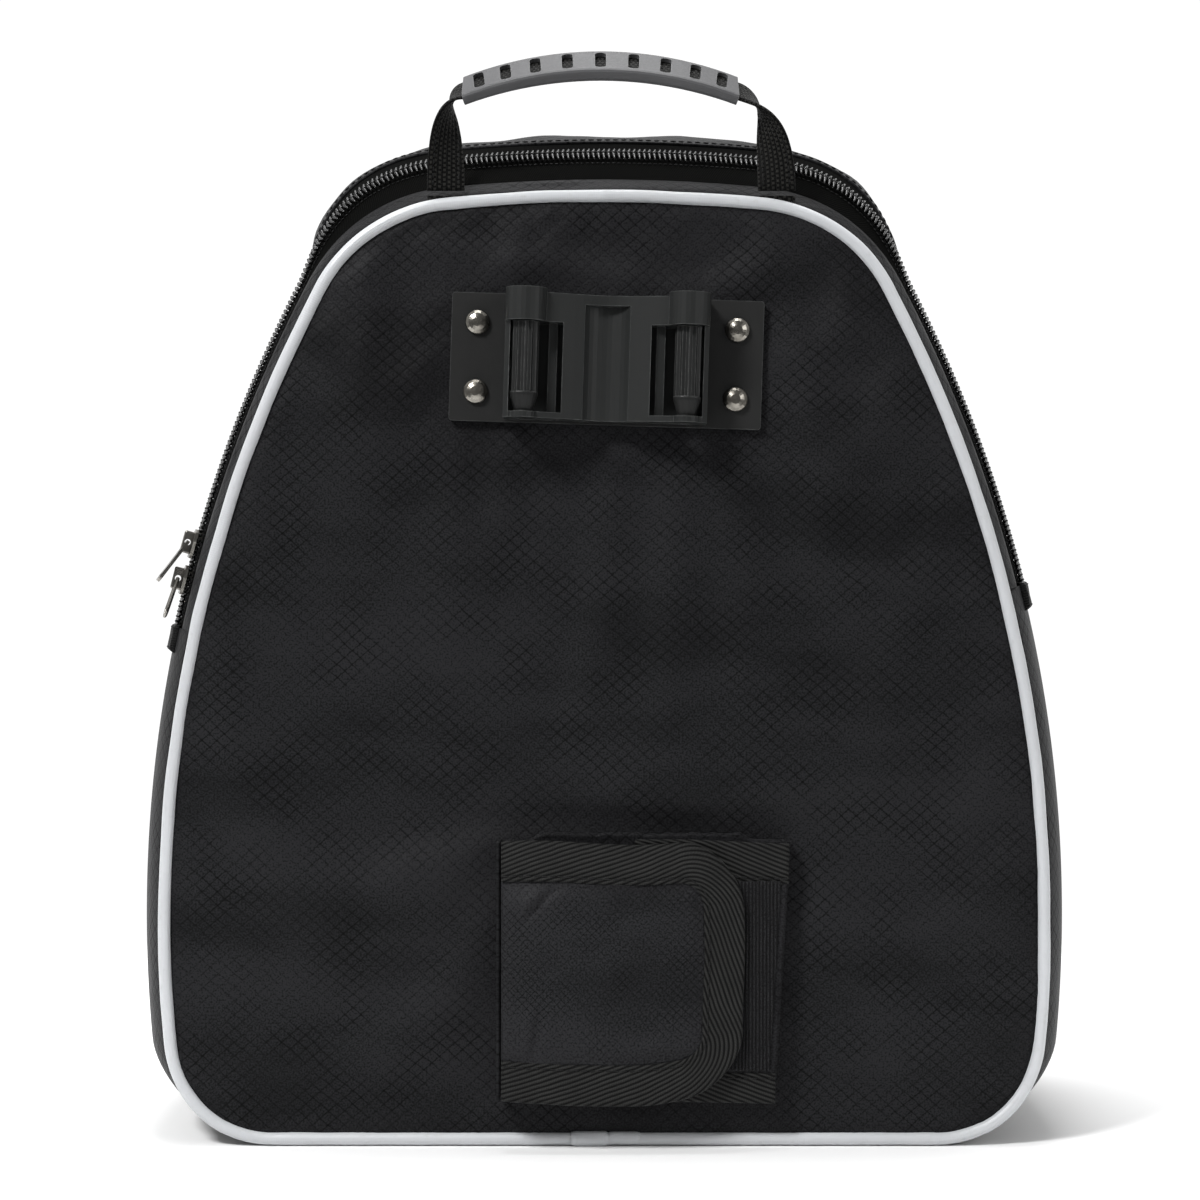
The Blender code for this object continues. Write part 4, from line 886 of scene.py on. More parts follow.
def front_panel():
    """The front: cloth drawn in at its piping and pillowed between the clip, the cuff and the rim."""
    inset = SEAM_INSET - 0.0012
    x, height = panel_rows(inset)
    z = FOOT + height
    rim = rim_distance(x, height, inset)
    places = joined(x, FRONT, z)
    relief = front_relief(x, z, rim)
    pucker = ripple(places, 0.010, 5.3) * 0.00040 * (1 - smooth(rim / 0.018)) * smooth(rim / 0.003)
    tuck = 0.0012 * (1 - smooth(rim / 0.007))
    outer = places.copy()
    outer[..., 1] = FRONT - 0.0015 - np.maximum(relief + pucker - tuck, -0.0024)
    inner = places.copy()
    inner[..., 1] = np.maximum(FRONT + 0.0014, outer[..., 1] + 0.0010)
    panel = shell("front_panel_cloth", outer, inner, joined(x, z), CLOTH)
    stands_for(panel, "ripstop", "front_panel_upper", "front_panel_lower")
    over_fold(panel)


def back_relief(places, rim):
    """How far the back panel stands out: a soft crown inside a line pressed in by its stitching."""
    soft = ripple(places * (1.0, 1.0, 0.7), 0.075, 11.3) * 0.0014
    folds = ripple(places * (0.5, 1.0, 1.0), 0.030, 2.9) * 0.0006
    crown = 0.0034 * smooth(rim / 0.055)
    groove = 0.0009 * np.exp(-((rim - BACK_STITCH) / 0.0016) ** 2)
    return 0.0016 + (crown + soft + folds) * smooth(rim / 0.014) - groove


def back_panel():
    """The back: a lightly padded panel with a line of topstitching inside its piping."""
    inset = SEAM_INSET - 0.0010
    x, height = panel_rows(inset)
    rim = rim_distance(x, height, inset)
    seam_y = FRONT + depth_at(height)
    z = FOOT + height
    outer = joined(x, seam_y + back_relief(joined(x, seam_y, z), rim), z)
    inner = joined(x, seam_y - 0.0018, z)
    panel = shell("back_panel_cloth", outer, inner, joined(x, z), CLOTH)
    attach(stands_for(panel, "ripstop", "back_panel"), "bag")
    line = whole_seam(0.003)
    line = line[line[:, 1] > 0.0]
    x, height = drawn_in(line, inset + BACK_STITCH)
    points = joined(x, FRONT + depth_at(height), FOOT + height)
    points[:, 1] += back_relief(points, BACK_STITCH) + 0.0003
    row = stitches("back_panel_topstitch", points, steady((0.0, 1.0, 0.0), points), THREAD)
    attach(row, "bag")


# The piping


def cord_frames(stations, y):
    """The middle line of a piping and its two cross directions."""
    centres = joined(stations[:, 0], y, FOOT + stations[:, 1])
    outward = joined(stations[:, 2], 0.0, stations[:, 3])
    along = unit(np.gradient(centres, axis=0))
    return centres, outward, unit(np.cross(along, outward))


def piping():
    """The two pale cords round the bag, and the front one's overlap at the base."""
    seam = whole_seam(0.0020)
    turn = len(seam) // 2
    seam = np.roll(seam, -turn, axis=0)
    centres, outward, across = cord_frames(seam, FRONT)
    wander = ripple(centres, 0.030, 4.4)[:, None] * 0.00025
    ring = grooved_ring(24)
    rings = np.broadcast_to(ring, (len(seam), *ring.shape)).copy()
    rings *= (1 + 0.03 * ripple(centres, 0.012, 8.8))[:, None, None]
    centres = centres + outward * wander * (seam[:, 1] > 0.004)[:, None]
    cord = swept("front_piping_cord", centres, outward, across, rings, [PIPING], closed=True)
    stands_for(cord, "piping", "front_piping_upper", "front_piping_lower")
    over_fold(cord)
    join_overlap()
    centres, outward, across = cord_frames(seam, FRONT + depth_at(seam[:, 1]))
    back = swept("back_piping_cord", centres, outward, -across, ring, [PIPING], closed=True)
    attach(stands_for(back, "piping", "back_piping"), "bag")


def grooved_ring(sides):
    """The piping's section: round, with the pressed line where its coat meets its flange."""
    groove_angle = math.radians(128)
    angles = np.arange(sides) * math.tau / sides
    away = (angles - groove_angle + math.pi) % math.tau - math.pi
    radius = PIPING_RADIUS * (1 - 0.20 * np.exp(-((away / 0.17) ** 2)))
    return joined(radius * np.cos(angles), radius * np.sin(angles))


def join_overlap():
    """The piping's ends, wrapped over each other at the middle of the base."""
    left, right, notch = -0.0134, 0.0142, 0.0014
    xs = np.linspace(left, right, 60)
    flare = 1 - smooth(np.minimum(xs - left, right - xs) / 0.0018)
    cut = np.exp(-((xs - notch) / 0.0006) ** 2)
    over = 1 - smooth((xs - notch) / 0.0012)
    radius = PIPING_RADIUS + 0.00015 + 0.00040 * over - 0.0004 * flare - 0.0006 * cut
    centres = joined(xs, FRONT - 0.0004, FOOT + 0.0003 - 0.0002 * over)
    rings = circle(16) * radius[:, None, None]
    across = steady((0.0, 1.0, 0.0), centres)
    up = steady((0.0, 0.0, 1.0), centres)
    sleeve = swept("front_piping_join", centres, across, up, rings, [PIPING])
    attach(sleeve, "bag")


# The gusset's cloth, tapes and teeth

# Where each piece begins and ends, as places in the gusset's section.
FRONT_STRIP = (0.0, 2.06)
FRONT_TAPE = (2.0, 3.44)
FRONT_COIL = (3.06, 3.49)
REAR_COIL = (3.94, 3.51)
REAR_TAPE = (3.56, 5.0)
REAR_STRIP = (4.94, LAST_SECTION)
END_TAB = (2.85, 4.15)
FRONT_COIL_STITCH = 2.97
REAR_COIL_STITCH = 4.03
REAR_HEM_STITCH = 5.14
BACK_SEAM_STITCH = 10.72
BASE_SEAM_STITCH = 0.9

COIL_PITCH = 0.00207
COIL_STITCH = {"gap": 0.0021, "length": 0.0015, "thread": 0.00026}
STRIP_THICKNESS = 0.0014
TAPE_THICKNESS = 0.0007
TAPE_DROP = -0.0009
TAPE_RUFFLE = 0.0002


def strip(name, stations, ends, steps, thickness, looks, ruffle=0.0, lift=0.0, seed=1.0):
    """A strip of the gusset between two section indices, ruffled a little between its seams."""
    first, last = ends
    ks = np.linspace(first, last, steps + 1)
    places, outward = gusset(stations, ks)
    share = np.minimum(ks - first, last - ks) / (last - first)
    loose = smooth(share / 0.22)[None, :]
    waves = ripple(places, 0.034, seed) * 0.8 + ripple(places, 0.014, seed + 3.0) * 0.25
    height = lift + ruffle * waves * loose
    outer = places + outward * height[..., None]
    inner = outer - outward * thickness
    run = run_along(stations[:, :2])
    steps_across = np.linalg.norm(np.diff(places, axis=1), axis=2).mean(0)
    width = np.concatenate([[0.0], np.cumsum(steps_across)])
    return shell(name, outer, inner, joined(run[:, None], width), looks), (run[-1], width[-1])


def seam_stitches(name, stations, k, lift, **sizes):
    """A row of stitches along the gusset at one section index."""
    places, outward = gusset(stations, [k])
    return stitches(name, places[:, 0] + outward[:, 0] * lift, outward[:, 0], THREAD, **sizes)


def zip_row(name, stations, ends, offset, look):
    """One row of the coil: slanted bars with round heads at the middle of the zip."""
    places, outward = gusset(stations, ends)
    pitch = COIL_PITCH
    heads, _, (roots, up) = spaced(places[:, 1], [places[:, 0], outward[:, 1]], pitch)
    run = unit(np.gradient(heads, axis=0))
    heads = heads + run * pitch * offset
    roots = roots + run * (pitch * offset - 0.0006)
    bar = heads - roots
    length = np.linalg.norm(bar, axis=1, keepdims=True)
    along = bar / length
    across = unit(np.cross(along, up))
    up = np.cross(across, along)
    widths = np.array([0.30, 0.52, 0.56, 0.58, 0.62, 0.78, 0.92, 0.78, 0.30]) * 0.00088
    heights = np.array([0.30, 0.60, 0.72, 0.78, 0.84, 1.00, 1.10, 0.90, 0.35]) * 0.00105
    centres = (heads + roots) / 2 + up * 0.0006
    return grains(name, centres, along, across, up, length.mean(), widths, heights, look)


def zip_and_strips():
    """The gusset from front to back: strip, tape and coil, coil, tape and strip; and the base."""
    zipped = upper_seam(RIGHT_ZIP_END, LEFT_ZIP_END)
    front, size = strip(
        "front_strip_cloth", zipped, FRONT_STRIP, 10, STRIP_THICKNESS, CLOTH, 0.0009, seed=2.0
    )
    nodes = ("gusset_front_strip", "gusset_front_strip_left", "gusset_front_strip_right")
    stands_for(front, "ripstop", *nodes)
    over_fold(front)
    woven = (6, TAPE_THICKNESS, [TAPE], TAPE_RUFFLE, TAPE_DROP)
    tape, _ = strip("front_tape_weave", zipped, FRONT_TAPE, *woven, seed=5.0)
    stands_for(tape, "zip_tape", "zip_front_tape", "zip_front_tape_left", "zip_front_tape_right")
    over_fold(tape)
    teeth = zip_row("front_coil_teeth", zipped, FRONT_COIL, 0.0, NYLON)
    stands_for(teeth, "zip_teeth", "zip_front_teeth", "zip_front_teeth_left", "zip_front_teeth_right")
    over_fold(teeth)
    coil = seam_stitches("front_coil_stitch", zipped, FRONT_COIL_STITCH, -0.0006, **COIL_STITCH)
    over_fold(coil)
    rear_tape, _ = strip("rear_tape_weave", zipped, REAR_TAPE, *woven, seed=6.0)
    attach(stands_for(rear_tape, "zip_tape", "zip_rear_tape"), "bag")
    rear_teeth = zip_row("rear_coil_teeth", zipped, REAR_COIL, 0.5, NYLON)
    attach(stands_for(rear_teeth, "zip_teeth", "zip_rear_teeth"), "bag")
    rear, size = strip(
        "rear_strip_cloth", zipped, REAR_STRIP, 44, STRIP_THICKNESS, CLOTH, 0.0022, seed=9.0
    )
    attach(stands_for(rear, "ripstop", "gusset_rear_strip"), "bag")
    for name, k, lift, sizes in (
        ("rear_coil_stitch", REAR_COIL_STITCH, -0.0006, COIL_STITCH),
        ("rear_strip_hem_stitch", REAR_HEM_STITCH, 0.0003, {}),
        ("rear_strip_back_stitch", BACK_SEAM_STITCH, 0.0003, {}),
    ):
        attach(seam_stitches(name, zipped, k, lift, **sizes), "bag")
    ground = lower_seam(LEFT_ZIP_END, RIGHT_ZIP_END)
    base, size = strip("base_strip_cloth", ground, (0.0, LAST_SECTION), 72, 0.0016, CLOTH)
    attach(stands_for(base, "ripstop", "gusset_bottom_panel"), "bag")
    for name, k in (("base_front_stitch", BASE_SEAM_STITCH), ("base_back_stitch", BACK_SEAM_STITCH)):
        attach(seam_stitches(name, ground, k, 0.0002), "bag")


def zip_ends():
    """A folded cloth tab sewn over each end of the zip."""
    for side, height in (("left", LEFT_ZIP_END), ("right", RIGHT_ZIP_END)):
        stations = half_seam(height - 0.010, height + 0.0012, 0.0008)
        if side == "left":
            stations = mirrored(stations)
        ks = np.linspace(*END_TAB, 22)
        places, outward = gusset(stations, ks)
        u = np.linspace(-1.0, 1.0, len(stations))[:, None]
        v = np.linspace(-1.0, 1.0, len(ks))[None, :]
        roll = 1 - np.maximum(np.abs(u) ** 6, np.abs(v) ** 10)
        lift = 0.0004 + 0.0020 * np.sqrt(np.maximum(roll, 0.0)) + ripple(places, 0.006, 1.7) * 0.0002
        outer = places + outward * lift[..., None]
        inner = places - outward * 0.0002
        uv = joined(run_along(stations[:, :2])[:, None], run_along(places[0]))
        tab = shell(f"zip_end_fold_{side}", outer, inner, uv, [TAB])
        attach(stands_for(tab, "webbing", f"zip_end_tab_{side}"), "bag")
        inside = ks[2:-2]
        for edge, index in (("top", -3), ("low", 2)):
            line, normal = gusset(stations[[index]], inside)
            height_here = lift[index, 2:-2][:, None]
            row = stitches(
                f"zip_end_stitch_{side}_{edge}", line[0] + normal[0] * height_here, normal[0],
                THREAD, gap=0.0022, length=0.0016,
            )
            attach(row, "bag")


# The handle's strap

FORWARDS = (0.0, -1.0, 0.0)
HANDLE_PIVOT = Vector(next(j["pos_m"] for j in frame["joints"] if j["name"] == "handle_swing"))
WEB_WIDTH = 0.0150
WEB_THICKNESS = 0.0014
GRIP_ENDS = (-0.0562, 0.0530)
GRIP_END_HEIGHT = 0.4195
GRIP_RISE = 0.0100
GRIP_TILT = math.radians(36)
GRIP_FLAT = Vector((0.0, math.cos(GRIP_TILT), math.sin(GRIP_TILT)))
STRAP_STITCH = 0.0052


def grip_path(steps):
    """Places and tangents along the grip's arc."""
    left, right = GRIP_ENDS
    half = (right - left) / 2
    radius = (half**2 + GRIP_RISE**2) / (2 * GRIP_RISE)
    reach = math.asin(half / radius)
    height = FOOT + GRIP_END_HEIGHT + GRIP_RISE - radius
    centre = Vector(((left + right) / 2, HANDLE_PIVOT.y, height))
    found = []
    for k in range(steps + 1):
        angle = -reach + 2 * reach * k / steps
        out = Vector((math.sin(angle), 0.0, math.cos(angle)))
        found.append((centre + out * radius, Vector((math.cos(angle), 0.0, -math.sin(angle)))))
    return found


def leg_frames(side, foot_x, steps):
    """Frames up one leg, twisting a quarter turn from facing forwards to lying in the grip."""
    end, tangent = grip_path(1)[0 if side < 0 else 1]
    start = Vector((foot_x, HANDLE_PIVOT.y, HANDLE_PIVOT.z))
    pull = (end - start).length
    first = start + Vector((0.0, 0.0, pull * 0.62))
    second = end + tangent * side * pull * 0.22
    frames = []
    for k in range(steps + 1):
        t = k / steps
        u = 1 - t
        place = start * u**3 + first * 3 * u * u * t + second * 3 * u * t * t + end * t**3
        along = (first - start) * u * u + (second - first) * 2 * u * t + (end - second) * t * t
        along.normalize()
        turn = math.pi / 2 * (1 - (1 - t) ** 1.6)
        across = Vector((-side, 0.0, 0.0)) * math.cos(turn) + GRIP_FLAT * math.sin(turn)
        across = (across - along * across.dot(along)).normalized()
        frames.append((place, across, along.cross(across) * -side))
    return frames


def handle_strap():
    """The strap, whole through its grip, with box stitching on its legs."""
    inside = [(place, GRIP_FLAT, along.cross(GRIP_FLAT)) for place, along in grip_path(60)]
    left = leg_frames(-1, middle("handle_webbing_end_left").x, 40)
    right = leg_frames(1, middle("handle_webbing_end_right").x, 40)[::-1]
    centres, across, up = (np.array(part) for part in zip(*left[:-1], *inside, *right[1:]))
    section = ribbon_section(WEB_WIDTH, WEB_THICKNESS)
    strap = swept("handle_strap", centres, across, up, section, [STRAP])
    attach(stands_for(strap, "webbing", "handle_webbing"), "handle")
    for side, legs in (("left", left[1:26]), ("right", right[::-1][1:26])):
        for edge, shift in (("outer", -STRAP_STITCH), ("inner", STRAP_STITCH)):
            line = np.array([place + across * shift - up * 0.0008 for place, across, up in legs])
            normal = np.array([-up for _, _, up in legs])
            flip = 1 if normal[0, 1] < 0 else -1
            line += normal * 0.0008 * (flip - 1)
            name = f"handle_stitch_{side}_{edge}"
            row = stitches(name, line, normal * flip, THREAD, gap=0.0026, length=0.0019)
            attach(row, "handle")


def strap_ends():
    """The strap's sewn ends, behind the piping."""
    for side in ("left", "right"):
        node = f"handle_webbing_end_{side}"
        low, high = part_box(node)
        centre = middle(node)
        centres = joined(centre.x, centre.y, np.linspace(low.z - 0.0030, high.z - 0.0010, 8))
        across = steady((1.0, 0.0, 0.0), centres)
        up = steady(FORWARDS, centres)
        section = ribbon_section(high.x - low.x, high.y - low.y)
        end = swept(f"strap_end_{side}", centres, across, up, section, [STRAP])
        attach(stands_for(end, "webbing", node), "lid")


# The cuff

CUFF_LEFT = -0.0420
CUFF_RIGHT = 0.0700
LEFT_FLAP_END = 0.0550
RIGHT_FLAP_END = 0.0120
CUFF_LOW = FOOT + 0.0178
CUFF_HIGH = FOOT + 0.1198
LEFT_FLAP_Y = FRONT - 0.0143
RIGHT_FLAP_Y = FRONT - 0.0104
SHEET = 0.0014
FOLD_GAP = 0.0012
BINDING_WIDTH = 0.0160
CORNER = 0.0250


def flap_grid(left, right, low, high, corner, columns=60, rows=64):
    """Places over a rectangle whose two right-hand corners are round: arrays of x and z."""
    z = np.linspace(low, high, rows + 1)
    near = np.maximum(corner - np.minimum(z - low, high - z), 0.0)
    ends = right - corner + np.sqrt(np.maximum(corner**2 - near**2, 0.0))
    t = np.linspace(0.0, 1.0, columns + 1)
    x = left + (ends - left)[:, None] * t
    return x, np.broadcast_to(z[:, None], x.shape)


def flap_cloth(name, x, z, y, front, look):
    """A flap's cloth with a front surface that stands out from its middle plane."""
    outer = joined(x, y - SHEET / 2 - front, z)
    return shell(name, outer, joined(x, y + SHEET / 2, z), joined(x, z), [look, LINING])


def c_path(left, right, low, high, corner):
    """A line along the top, round the two right-hand corners and back, and the way out."""
    step = 0.0015
    run = np.linspace(left, right - corner, max(2, int((right - left) / step)))
    side = np.linspace(high - corner, low + corner, max(2, int((high - low) / step)))
    legs = [
        joined(run, high, 0.0, 1.0),
        on_arc((right - corner, high - corner), corner, math.pi / 2, 0.0, step),
        joined(right, side, 1.0, 0.0),
        on_arc((right - corner, low + corner), corner, 0.0, -math.pi / 2, step),
        joined(run[::-1], low, 0.0, -1.0),
    ]
    return chained(legs)


def upright(path, y):
    """The points and cross directions of a line in an upright plane."""
    centres = joined(path[:, 0], y, path[:, 1])
    return centres, joined(path[:, 2], 0.0, path[:, 3]), steady(FORWARDS, centres)


def binding_section(width, thickness):
    """A folded tape: a round outer edge, a crowned face and a pressed inner edge."""
    half = thickness / 2
    xs = np.linspace(-width / 2, width / 2 - half, 14)
    share = (xs + width / 2) / width
    crown = half * (0.72 + 0.30 * np.sqrt(np.clip(share * 3, 0, 1)))
    crown -= half * 0.35 * np.exp(-((share - 0.13) / 0.045) ** 2)
    turn = np.linspace(0.15, math.pi - 0.15, 7)
    fold = joined(width / 2 - half * (1 - np.sin(turn)), half * np.cos(turn))
    return np.concatenate([joined(xs, crown), fold, joined(xs[::-1], -crown[::-1])])


def reshaped(piece, change):
    """Moves a piece's points by a function of their places."""
    places = np.zeros(len(piece.data.vertices) * 3)
    piece.data.vertices.foreach_get("co", places)
    piece.data.vertices.foreach_set("co", change(places.reshape(-1, 3)).ravel())
    piece.data.update()
    return piece


def hand_sewn(places):
    """The outer flap's real shape: it bellies forward, its hem bows and its low corner lifts."""
    x, y, z = places.T
    centre = (CUFF_LOW + CUFF_HIGH) / 2
    below = smooth((centre - z) / 0.045)
    above = smooth((z - centre) / 0.045)
    start = CUFF_LEFT + FOLD_GAP
    run = np.clip((x - start) / (LEFT_FLAP_END - start), 0.0, 1.0)
    belly = np.sin(math.pi * np.sqrt(run))
    made = places.copy()
    made[:, 1] = y - 0.0026 * belly * (0.55 + 0.45 * below) - 0.0006 * run * below
    lift = 0.0052 * smooth((x - 0.012) / 0.045) - 0.0018 * np.sin(math.pi * run)
    wave = 0.0009 * np.sin(run * 7.5 + 0.6) - 0.0022 * smooth((x - 0.030) / 0.025)
    made[:, 2] = z + lift * below + wave * above
    made[:, 0] = x + 0.0005 * np.sin(z * 95.0) * run
    return made


def valley(x, z, start, end, width, depth):
    """A short crease along a line: a hollow with a soft ridge beside it."""
    line = np.subtract(end, start)
    length = np.hypot(*line)
    along = ((x - start[0]) * line[0] + (z - start[1]) * line[1]) / length
    aside = ((x - start[0]) * line[1] - (z - start[1]) * line[0]) / length
    ends = smooth(along / (length * 0.35)) * smooth((length - along) / (length * 0.35))
    hollow = np.exp(-((aside / width) ** 2))
    ridge = np.exp(-(((aside - 2.2 * width) / (1.6 * width)) ** 2))
    return depth * ends * (0.7 * ridge - hollow)


CREASES = (
    ((-0.012, 0.112), (-0.035, 0.088), 0.0016, 0.0015),
    ((-0.0240, 0.062), (-0.0300, 0.030), 0.0016, 0.0013),
    ((0.034, 0.096), (-0.004, 0.050), 0.0040, 0.0010),
    ((-0.010, 0.038), (0.030, 0.052), 0.0030, 0.0008),
    ((-0.038, 0.078), (-0.014, 0.070), 0.0030, 0.0007),
)


def left_flap():
    """The outer flap: puffed ripstop in a twill binding, with a loop patch behind."""
    end = LEFT_FLAP_END - BINDING_WIDTH
    low = CUFF_LOW + BINDING_WIDTH
    high = CUFF_HIGH - BINDING_WIDTH
    start = CUFF_LEFT + FOLD_GAP
    tuck = 0.0012
    x, z = flap_grid(start, end + tuck, low - tuck, high + tuck, CORNER - BINDING_WIDTH, 80, 84)
    edge = np.minimum(np.minimum(z - low, high - z), end - x) + tuck
    places = joined(x, LEFT_FLAP_Y, z)
    soft = 0.0006 * ripple(places, 0.020, 6.6) + 0.0003 * ripple(places, 0.008, 1.2)
    creases = sum(valley(x, z, *crease) for crease in CREASES)
    puff = (0.0024 + soft + creases) * smooth(edge / 0.009)
    puff *= smooth((x - CUFF_LEFT + 0.002) / 0.007)
    cloth = flap_cloth("cuff_left_cloth", x, z, LEFT_FLAP_Y, puff - 0.0004, PLAIN)
    reshaped(cloth, hand_sewn)
    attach(stands_for(cloth, "ripstop", "cuff_left_flap"), "cuff_left")
    half = BINDING_WIDTH / 2
    path = c_path(start, LEFT_FLAP_END - half, CUFF_LOW + half, CUFF_HIGH - half, CORNER - half)
    centres, across, up = upright(path, LEFT_FLAP_Y)
    centres = centres + up * ripple(centres, 0.016, 9.1)[:, None] * 0.0005
    band = swept("cuff_left_tape", centres, across, up, binding_section(BINDING_WIDTH, 0.0024), [TWILL])
    reshaped(band, hand_sewn)
    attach(stands_for(band, "twill_binding", "cuff_left_binding"), "cuff_left")
    for name, inset in (("cuff_left_inner_stitch", 0.0021), ("cuff_left_outer_stitch", 0.0140)):
        line = centres - across * (half - inset) + up * 0.0010
        row = stitches(name, line, up, THREAD, gap=0.0031, length=0.0022, thread=0.00028)
        reshaped(row, hand_sewn)
        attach(row, "cuff_left")
    patch = pile_patch("cuff_loop_pile", *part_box("cuff_loop_patch"), 0.0, 0.0002)
    reshaped(patch, hand_sewn)
    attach(stands_for(patch, "hook_and_loop", "cuff_loop_patch"), "cuff_left")


def pile_patch(name, low, high, rib, depth, slant=None):
    """A strip of hook-and-loop, with upright ribs where it has them."""
    columns = max(8, int((high.x - low.x) / 0.0004))
    x, z = np.meshgrid(np.linspace(low.x, high.x, columns + 1), np.linspace(low.z, high.z, 61))
    shape = depth * (np.cos(x * math.tau / rib) if rib else ripple(joined(x, x, z), 0.004, 2.2))
    edge = np.minimum(np.minimum(x - low.x, high.x - x), np.minimum(z - low.z, high.z - z))
    front = np.where(edge > 0.0005, shape, -abs(depth))
    place_x = slant(x, z) if slant else x
    outer = joined(place_x, low.y - front, z)
    return shell(name, outer, joined(place_x, high.y, z), joined(x, z), [PILE])


def right_slant(x, z):
    """The inner flap's fold leans: its top runs further out than its bottom."""
    lean = (z - (CUFF_LOW + CUFF_HIGH) / 2) / (CUFF_HIGH - CUFF_LOW)
    return x + 0.0062 * lean * smooth((x - 0.044) / 0.024)


def right_flap():
    """The inner flap: it shows beside the outer one as a ribbed strip between two bindings."""
    low = CUFF_LOW - 0.0012
    high = CUFF_HIGH + 0.0008
    low_edge = low + 0.0120
    high_edge = high - BINDING_WIDTH
    x, z = flap_grid(RIGHT_FLAP_END + 0.0070, CUFF_RIGHT, low_edge - 0.001, high_edge + 0.001, 0.0001)
    cloth = flap_cloth("cuff_right_cloth", right_slant(x, z), z, RIGHT_FLAP_Y, np.zeros(x.shape), RIPSTOP)
    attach(stands_for(cloth, "ripstop", "cuff_right_flap"), "cuff_right")
    xs = np.linspace(RIGHT_FLAP_END, CUFF_RIGHT + 0.0004, 44)
    for name, bottom, top, sign, weave, droop in (
        ("top", high_edge, high, 1.0, TWILL_BACK, 0.0016),
        ("low", low, low_edge, -1.0, TWILL, 0.0006),
    ):
        zs = (bottom + top) / 2 - droop * smooth((xs - 0.030) / 0.042)
        centres = joined(right_slant(xs, zs), RIGHT_FLAP_Y - 0.0001, zs)
        across = steady((0.0, 0.0, sign), centres)
        up = steady(FORWARDS, centres)
        section = binding_section(top - bottom, 0.0021)
        band = swept(f"cuff_right_tape_{name}", centres, across, up, section, [weave])
        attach(stands_for(band, "twill_binding", "cuff_right_binding"), "cuff_right")
        line = centres - across * ((top - bottom) / 2 - 0.0020) + up * 0.0010
        row = stitches(f"cuff_right_stitch_{name}", line, up, THREAD, gap=0.0031, length=0.0022)
        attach(row, "cuff_right")
    zs = np.linspace(low + 0.004, high - 0.004, 50)
    centres = joined(RIGHT_FLAP_END + 0.0045, RIGHT_FLAP_Y, zs)
    across = steady((-1.0, 0.0, 0.0), centres)
    up = steady(FORWARDS, centres)
    band = swept("cuff_right_tape_end", centres, across, up, binding_section(0.009, 0.0020), [TWILL])
    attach(band, "cuff_right")
    strip_low, strip_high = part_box("cuff_hook_strip")
    strip_high = Vector((CUFF_RIGHT - 2 * FOLD_GAP, strip_high.y, strip_high.z))
    strip_made = pile_patch("cuff_hook_pile", strip_low, strip_high, 0.0014, 0.00026, right_slant)
    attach(stands_for(strip_made, "hook_and_loop", "cuff_hook_strip"), "cuff_right")


def cuff_sleeve():
    """The patch on the panel and the two walls that the flaps fold from, as one bent cloth."""
    back = FRONT - 0.0018
    middle_y = back - SHEET / 2
    bend = 0.0030
    left_top = LEFT_FLAP_Y + SHEET / 2 + 0.0004
    right_top = RIGHT_FLAP_Y + SHEET / 2 + 0.0004
    turn = np.linspace(0.0, math.pi / 2, 7)[1:-1]
    aside = bend * (1 - np.cos(turn))
    down = middle_y - bend * (1 - np.sin(turn))
    left_wall = joined(CUFF_LEFT, np.linspace(left_top, middle_y - bend, 10))
    right_wall = joined(CUFF_RIGHT, np.linspace(right_top, middle_y - bend, 8))
    line = np.concatenate([
        left_wall,
        joined(CUFF_LEFT + aside, down),
        joined(np.linspace(CUFF_LEFT + bend, CUFF_RIGHT - bend, 70), middle_y),
        joined(CUFF_RIGHT - aside, down)[::-1],
        right_wall[::-1],
    ])
    along = unit(np.gradient(line, axis=0))
    normal = joined(along[:, 1], -along[:, 0]) * SHEET / 2
    share = np.linspace(0.0, 1.0, 70)[:, None]
    top = CUFF_HIGH + 0.0026
    fray = 0.0007 * np.array([noise.noise(Vector((x * 300, y * 300, 0.5))) for x, y in line])
    on_panel = smooth((line[:, 0] - CUFF_LEFT - 0.012) / 0.006)
    on_panel = on_panel * smooth((CUFF_RIGHT - 0.012 - line[:, 0]) / 0.006)
    tops = CUFF_HIGH + (top - CUFF_HIGH) * on_panel + fray
    z = CUFF_LOW + (tops - CUFF_LOW) * share
    slanted = right_slant(line[:, 0], z)
    outer = joined(slanted + normal[:, 0], line[:, 1] + normal[:, 1], z)
    inner = joined(slanted - normal[:, 0], line[:, 1] - normal[:, 1], z)
    run = run_along(line)
    made = shell("cuff_sleeve_cloth", outer, inner, joined(run, z), [RIPSTOP])
    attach(stands_for(made, "ripstop", "cuff_sleeve"), "bag")


# The studio

CAMERA_DISTANCE = 1.05
FRAME_WIDTH = 0.480
PICTURE_CENTRE = (-0.0018, 0.2182)
ROOM_FRONT = 0.15
ROOM_BACK = 1.05
FLOOR_RADIUS = 0.62


def camera():
    """The photo's view: straight at the front, level with the middle of the picture."""
    data = bpy.data.cameras.new("camera")
    data.sensor_width = 36.0
    data.lens = data.sensor_width * CAMERA_DISTANCE / FRAME_WIDTH
    data.clip_start = 0.01
    made = linked("camera", data)
    made.location = (PICTURE_CENTRE[0], FRONT - CAMERA_DISTANCE, PICTURE_CENTRE[1])
    made.rotation_euler = (math.pi / 2, 0.0, 0.0)
    bpy.context.scene.camera = made


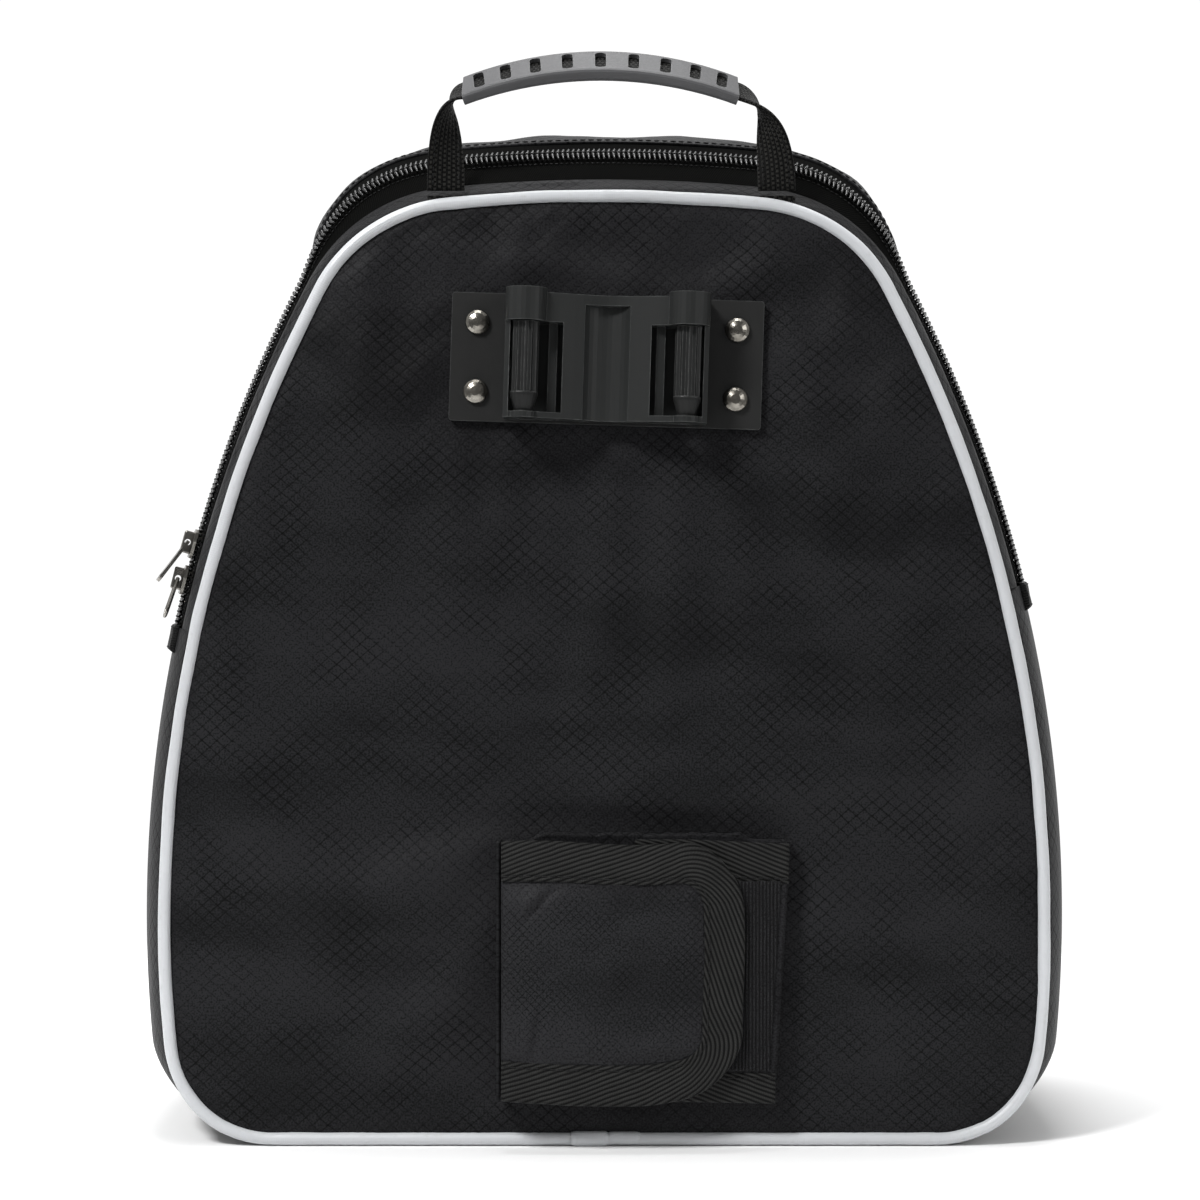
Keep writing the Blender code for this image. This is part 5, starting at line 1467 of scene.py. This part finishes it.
def area_light(name, place, aim, size, power):
    """A round soft light at one place, turned towards another."""
    data = bpy.data.lights.new(name, "AREA")
    data.shape = "DISK"
    data.size = size
    data.energy = power
    made = linked(name, data)
    made.location = place
    made.rotation_euler = (Vector(aim) - Vector(place)).to_track_quat("-Z", "Y").to_euler()


def studio():
    """A pale floor in a white room, brighter behind, a broad key light and two soft fills."""
    shape = bmesh.new()
    bmesh.ops.create_circle(shape, cap_ends=True, segments=96, radius=FLOOR_RADIUS)
    data = bpy.data.meshes.new("floor")
    shape.to_mesh(data)
    shape.free()
    data.materials.append(floor_look())
    floor = linked("floor", data)
    world = bpy.data.worlds.new("room")
    world.use_nodes = True
    nodes = world.node_tree.nodes
    links = world.node_tree.links
    parts = nodes.new("ShaderNodeSeparateXYZ")
    level = nodes.new("ShaderNodeMapRange")
    level.interpolation_type = "SMOOTHSTEP"
    for socket, value in zip(level.inputs[1:5], (-0.35, 0.35, ROOM_FRONT, ROOM_BACK)):
        socket.default_value = value
    links.new(nodes.new("ShaderNodeTexCoord").outputs["Generated"], parts.inputs[0])
    links.new(parts.outputs[1], level.inputs[0])
    seen = nodes.new("ShaderNodeMath")
    seen.operation = "MAXIMUM"
    links.new(level.outputs[0], seen.inputs[0])
    links.new(nodes.new("ShaderNodeLightPath").outputs["Is Camera Ray"], seen.inputs[1])
    links.new(seen.outputs[0], nodes["Background"].inputs["Strength"])
    nodes["Background"].inputs["Color"].default_value = (1.0, 1.0, 1.0, 1.0)
    bpy.context.scene.world = world
    bpy.context.scene.view_settings.view_transform = "Standard"
    area_light("key", (-0.9, -1.1, 1.5), (0.0, -0.05, 0.22), 0.45, 34.0)
    area_light("fill", (1.3, -1.0, 0.8), (0.0, -0.05, 0.22), 0.8, 6.0)
    area_light("top", (0.0, 0.1, 1.7), (0.0, -0.02, 0.30), 0.8, 17.0)


def build():
    camera()
    dress_hardware()
    front_panel()
    back_panel()
    piping()
    zip_and_strips()
    zip_ends()
    handle_strap()
    strap_ends()
    cuff_sleeve()
    left_flap()
    right_flap()
    studio()


build()
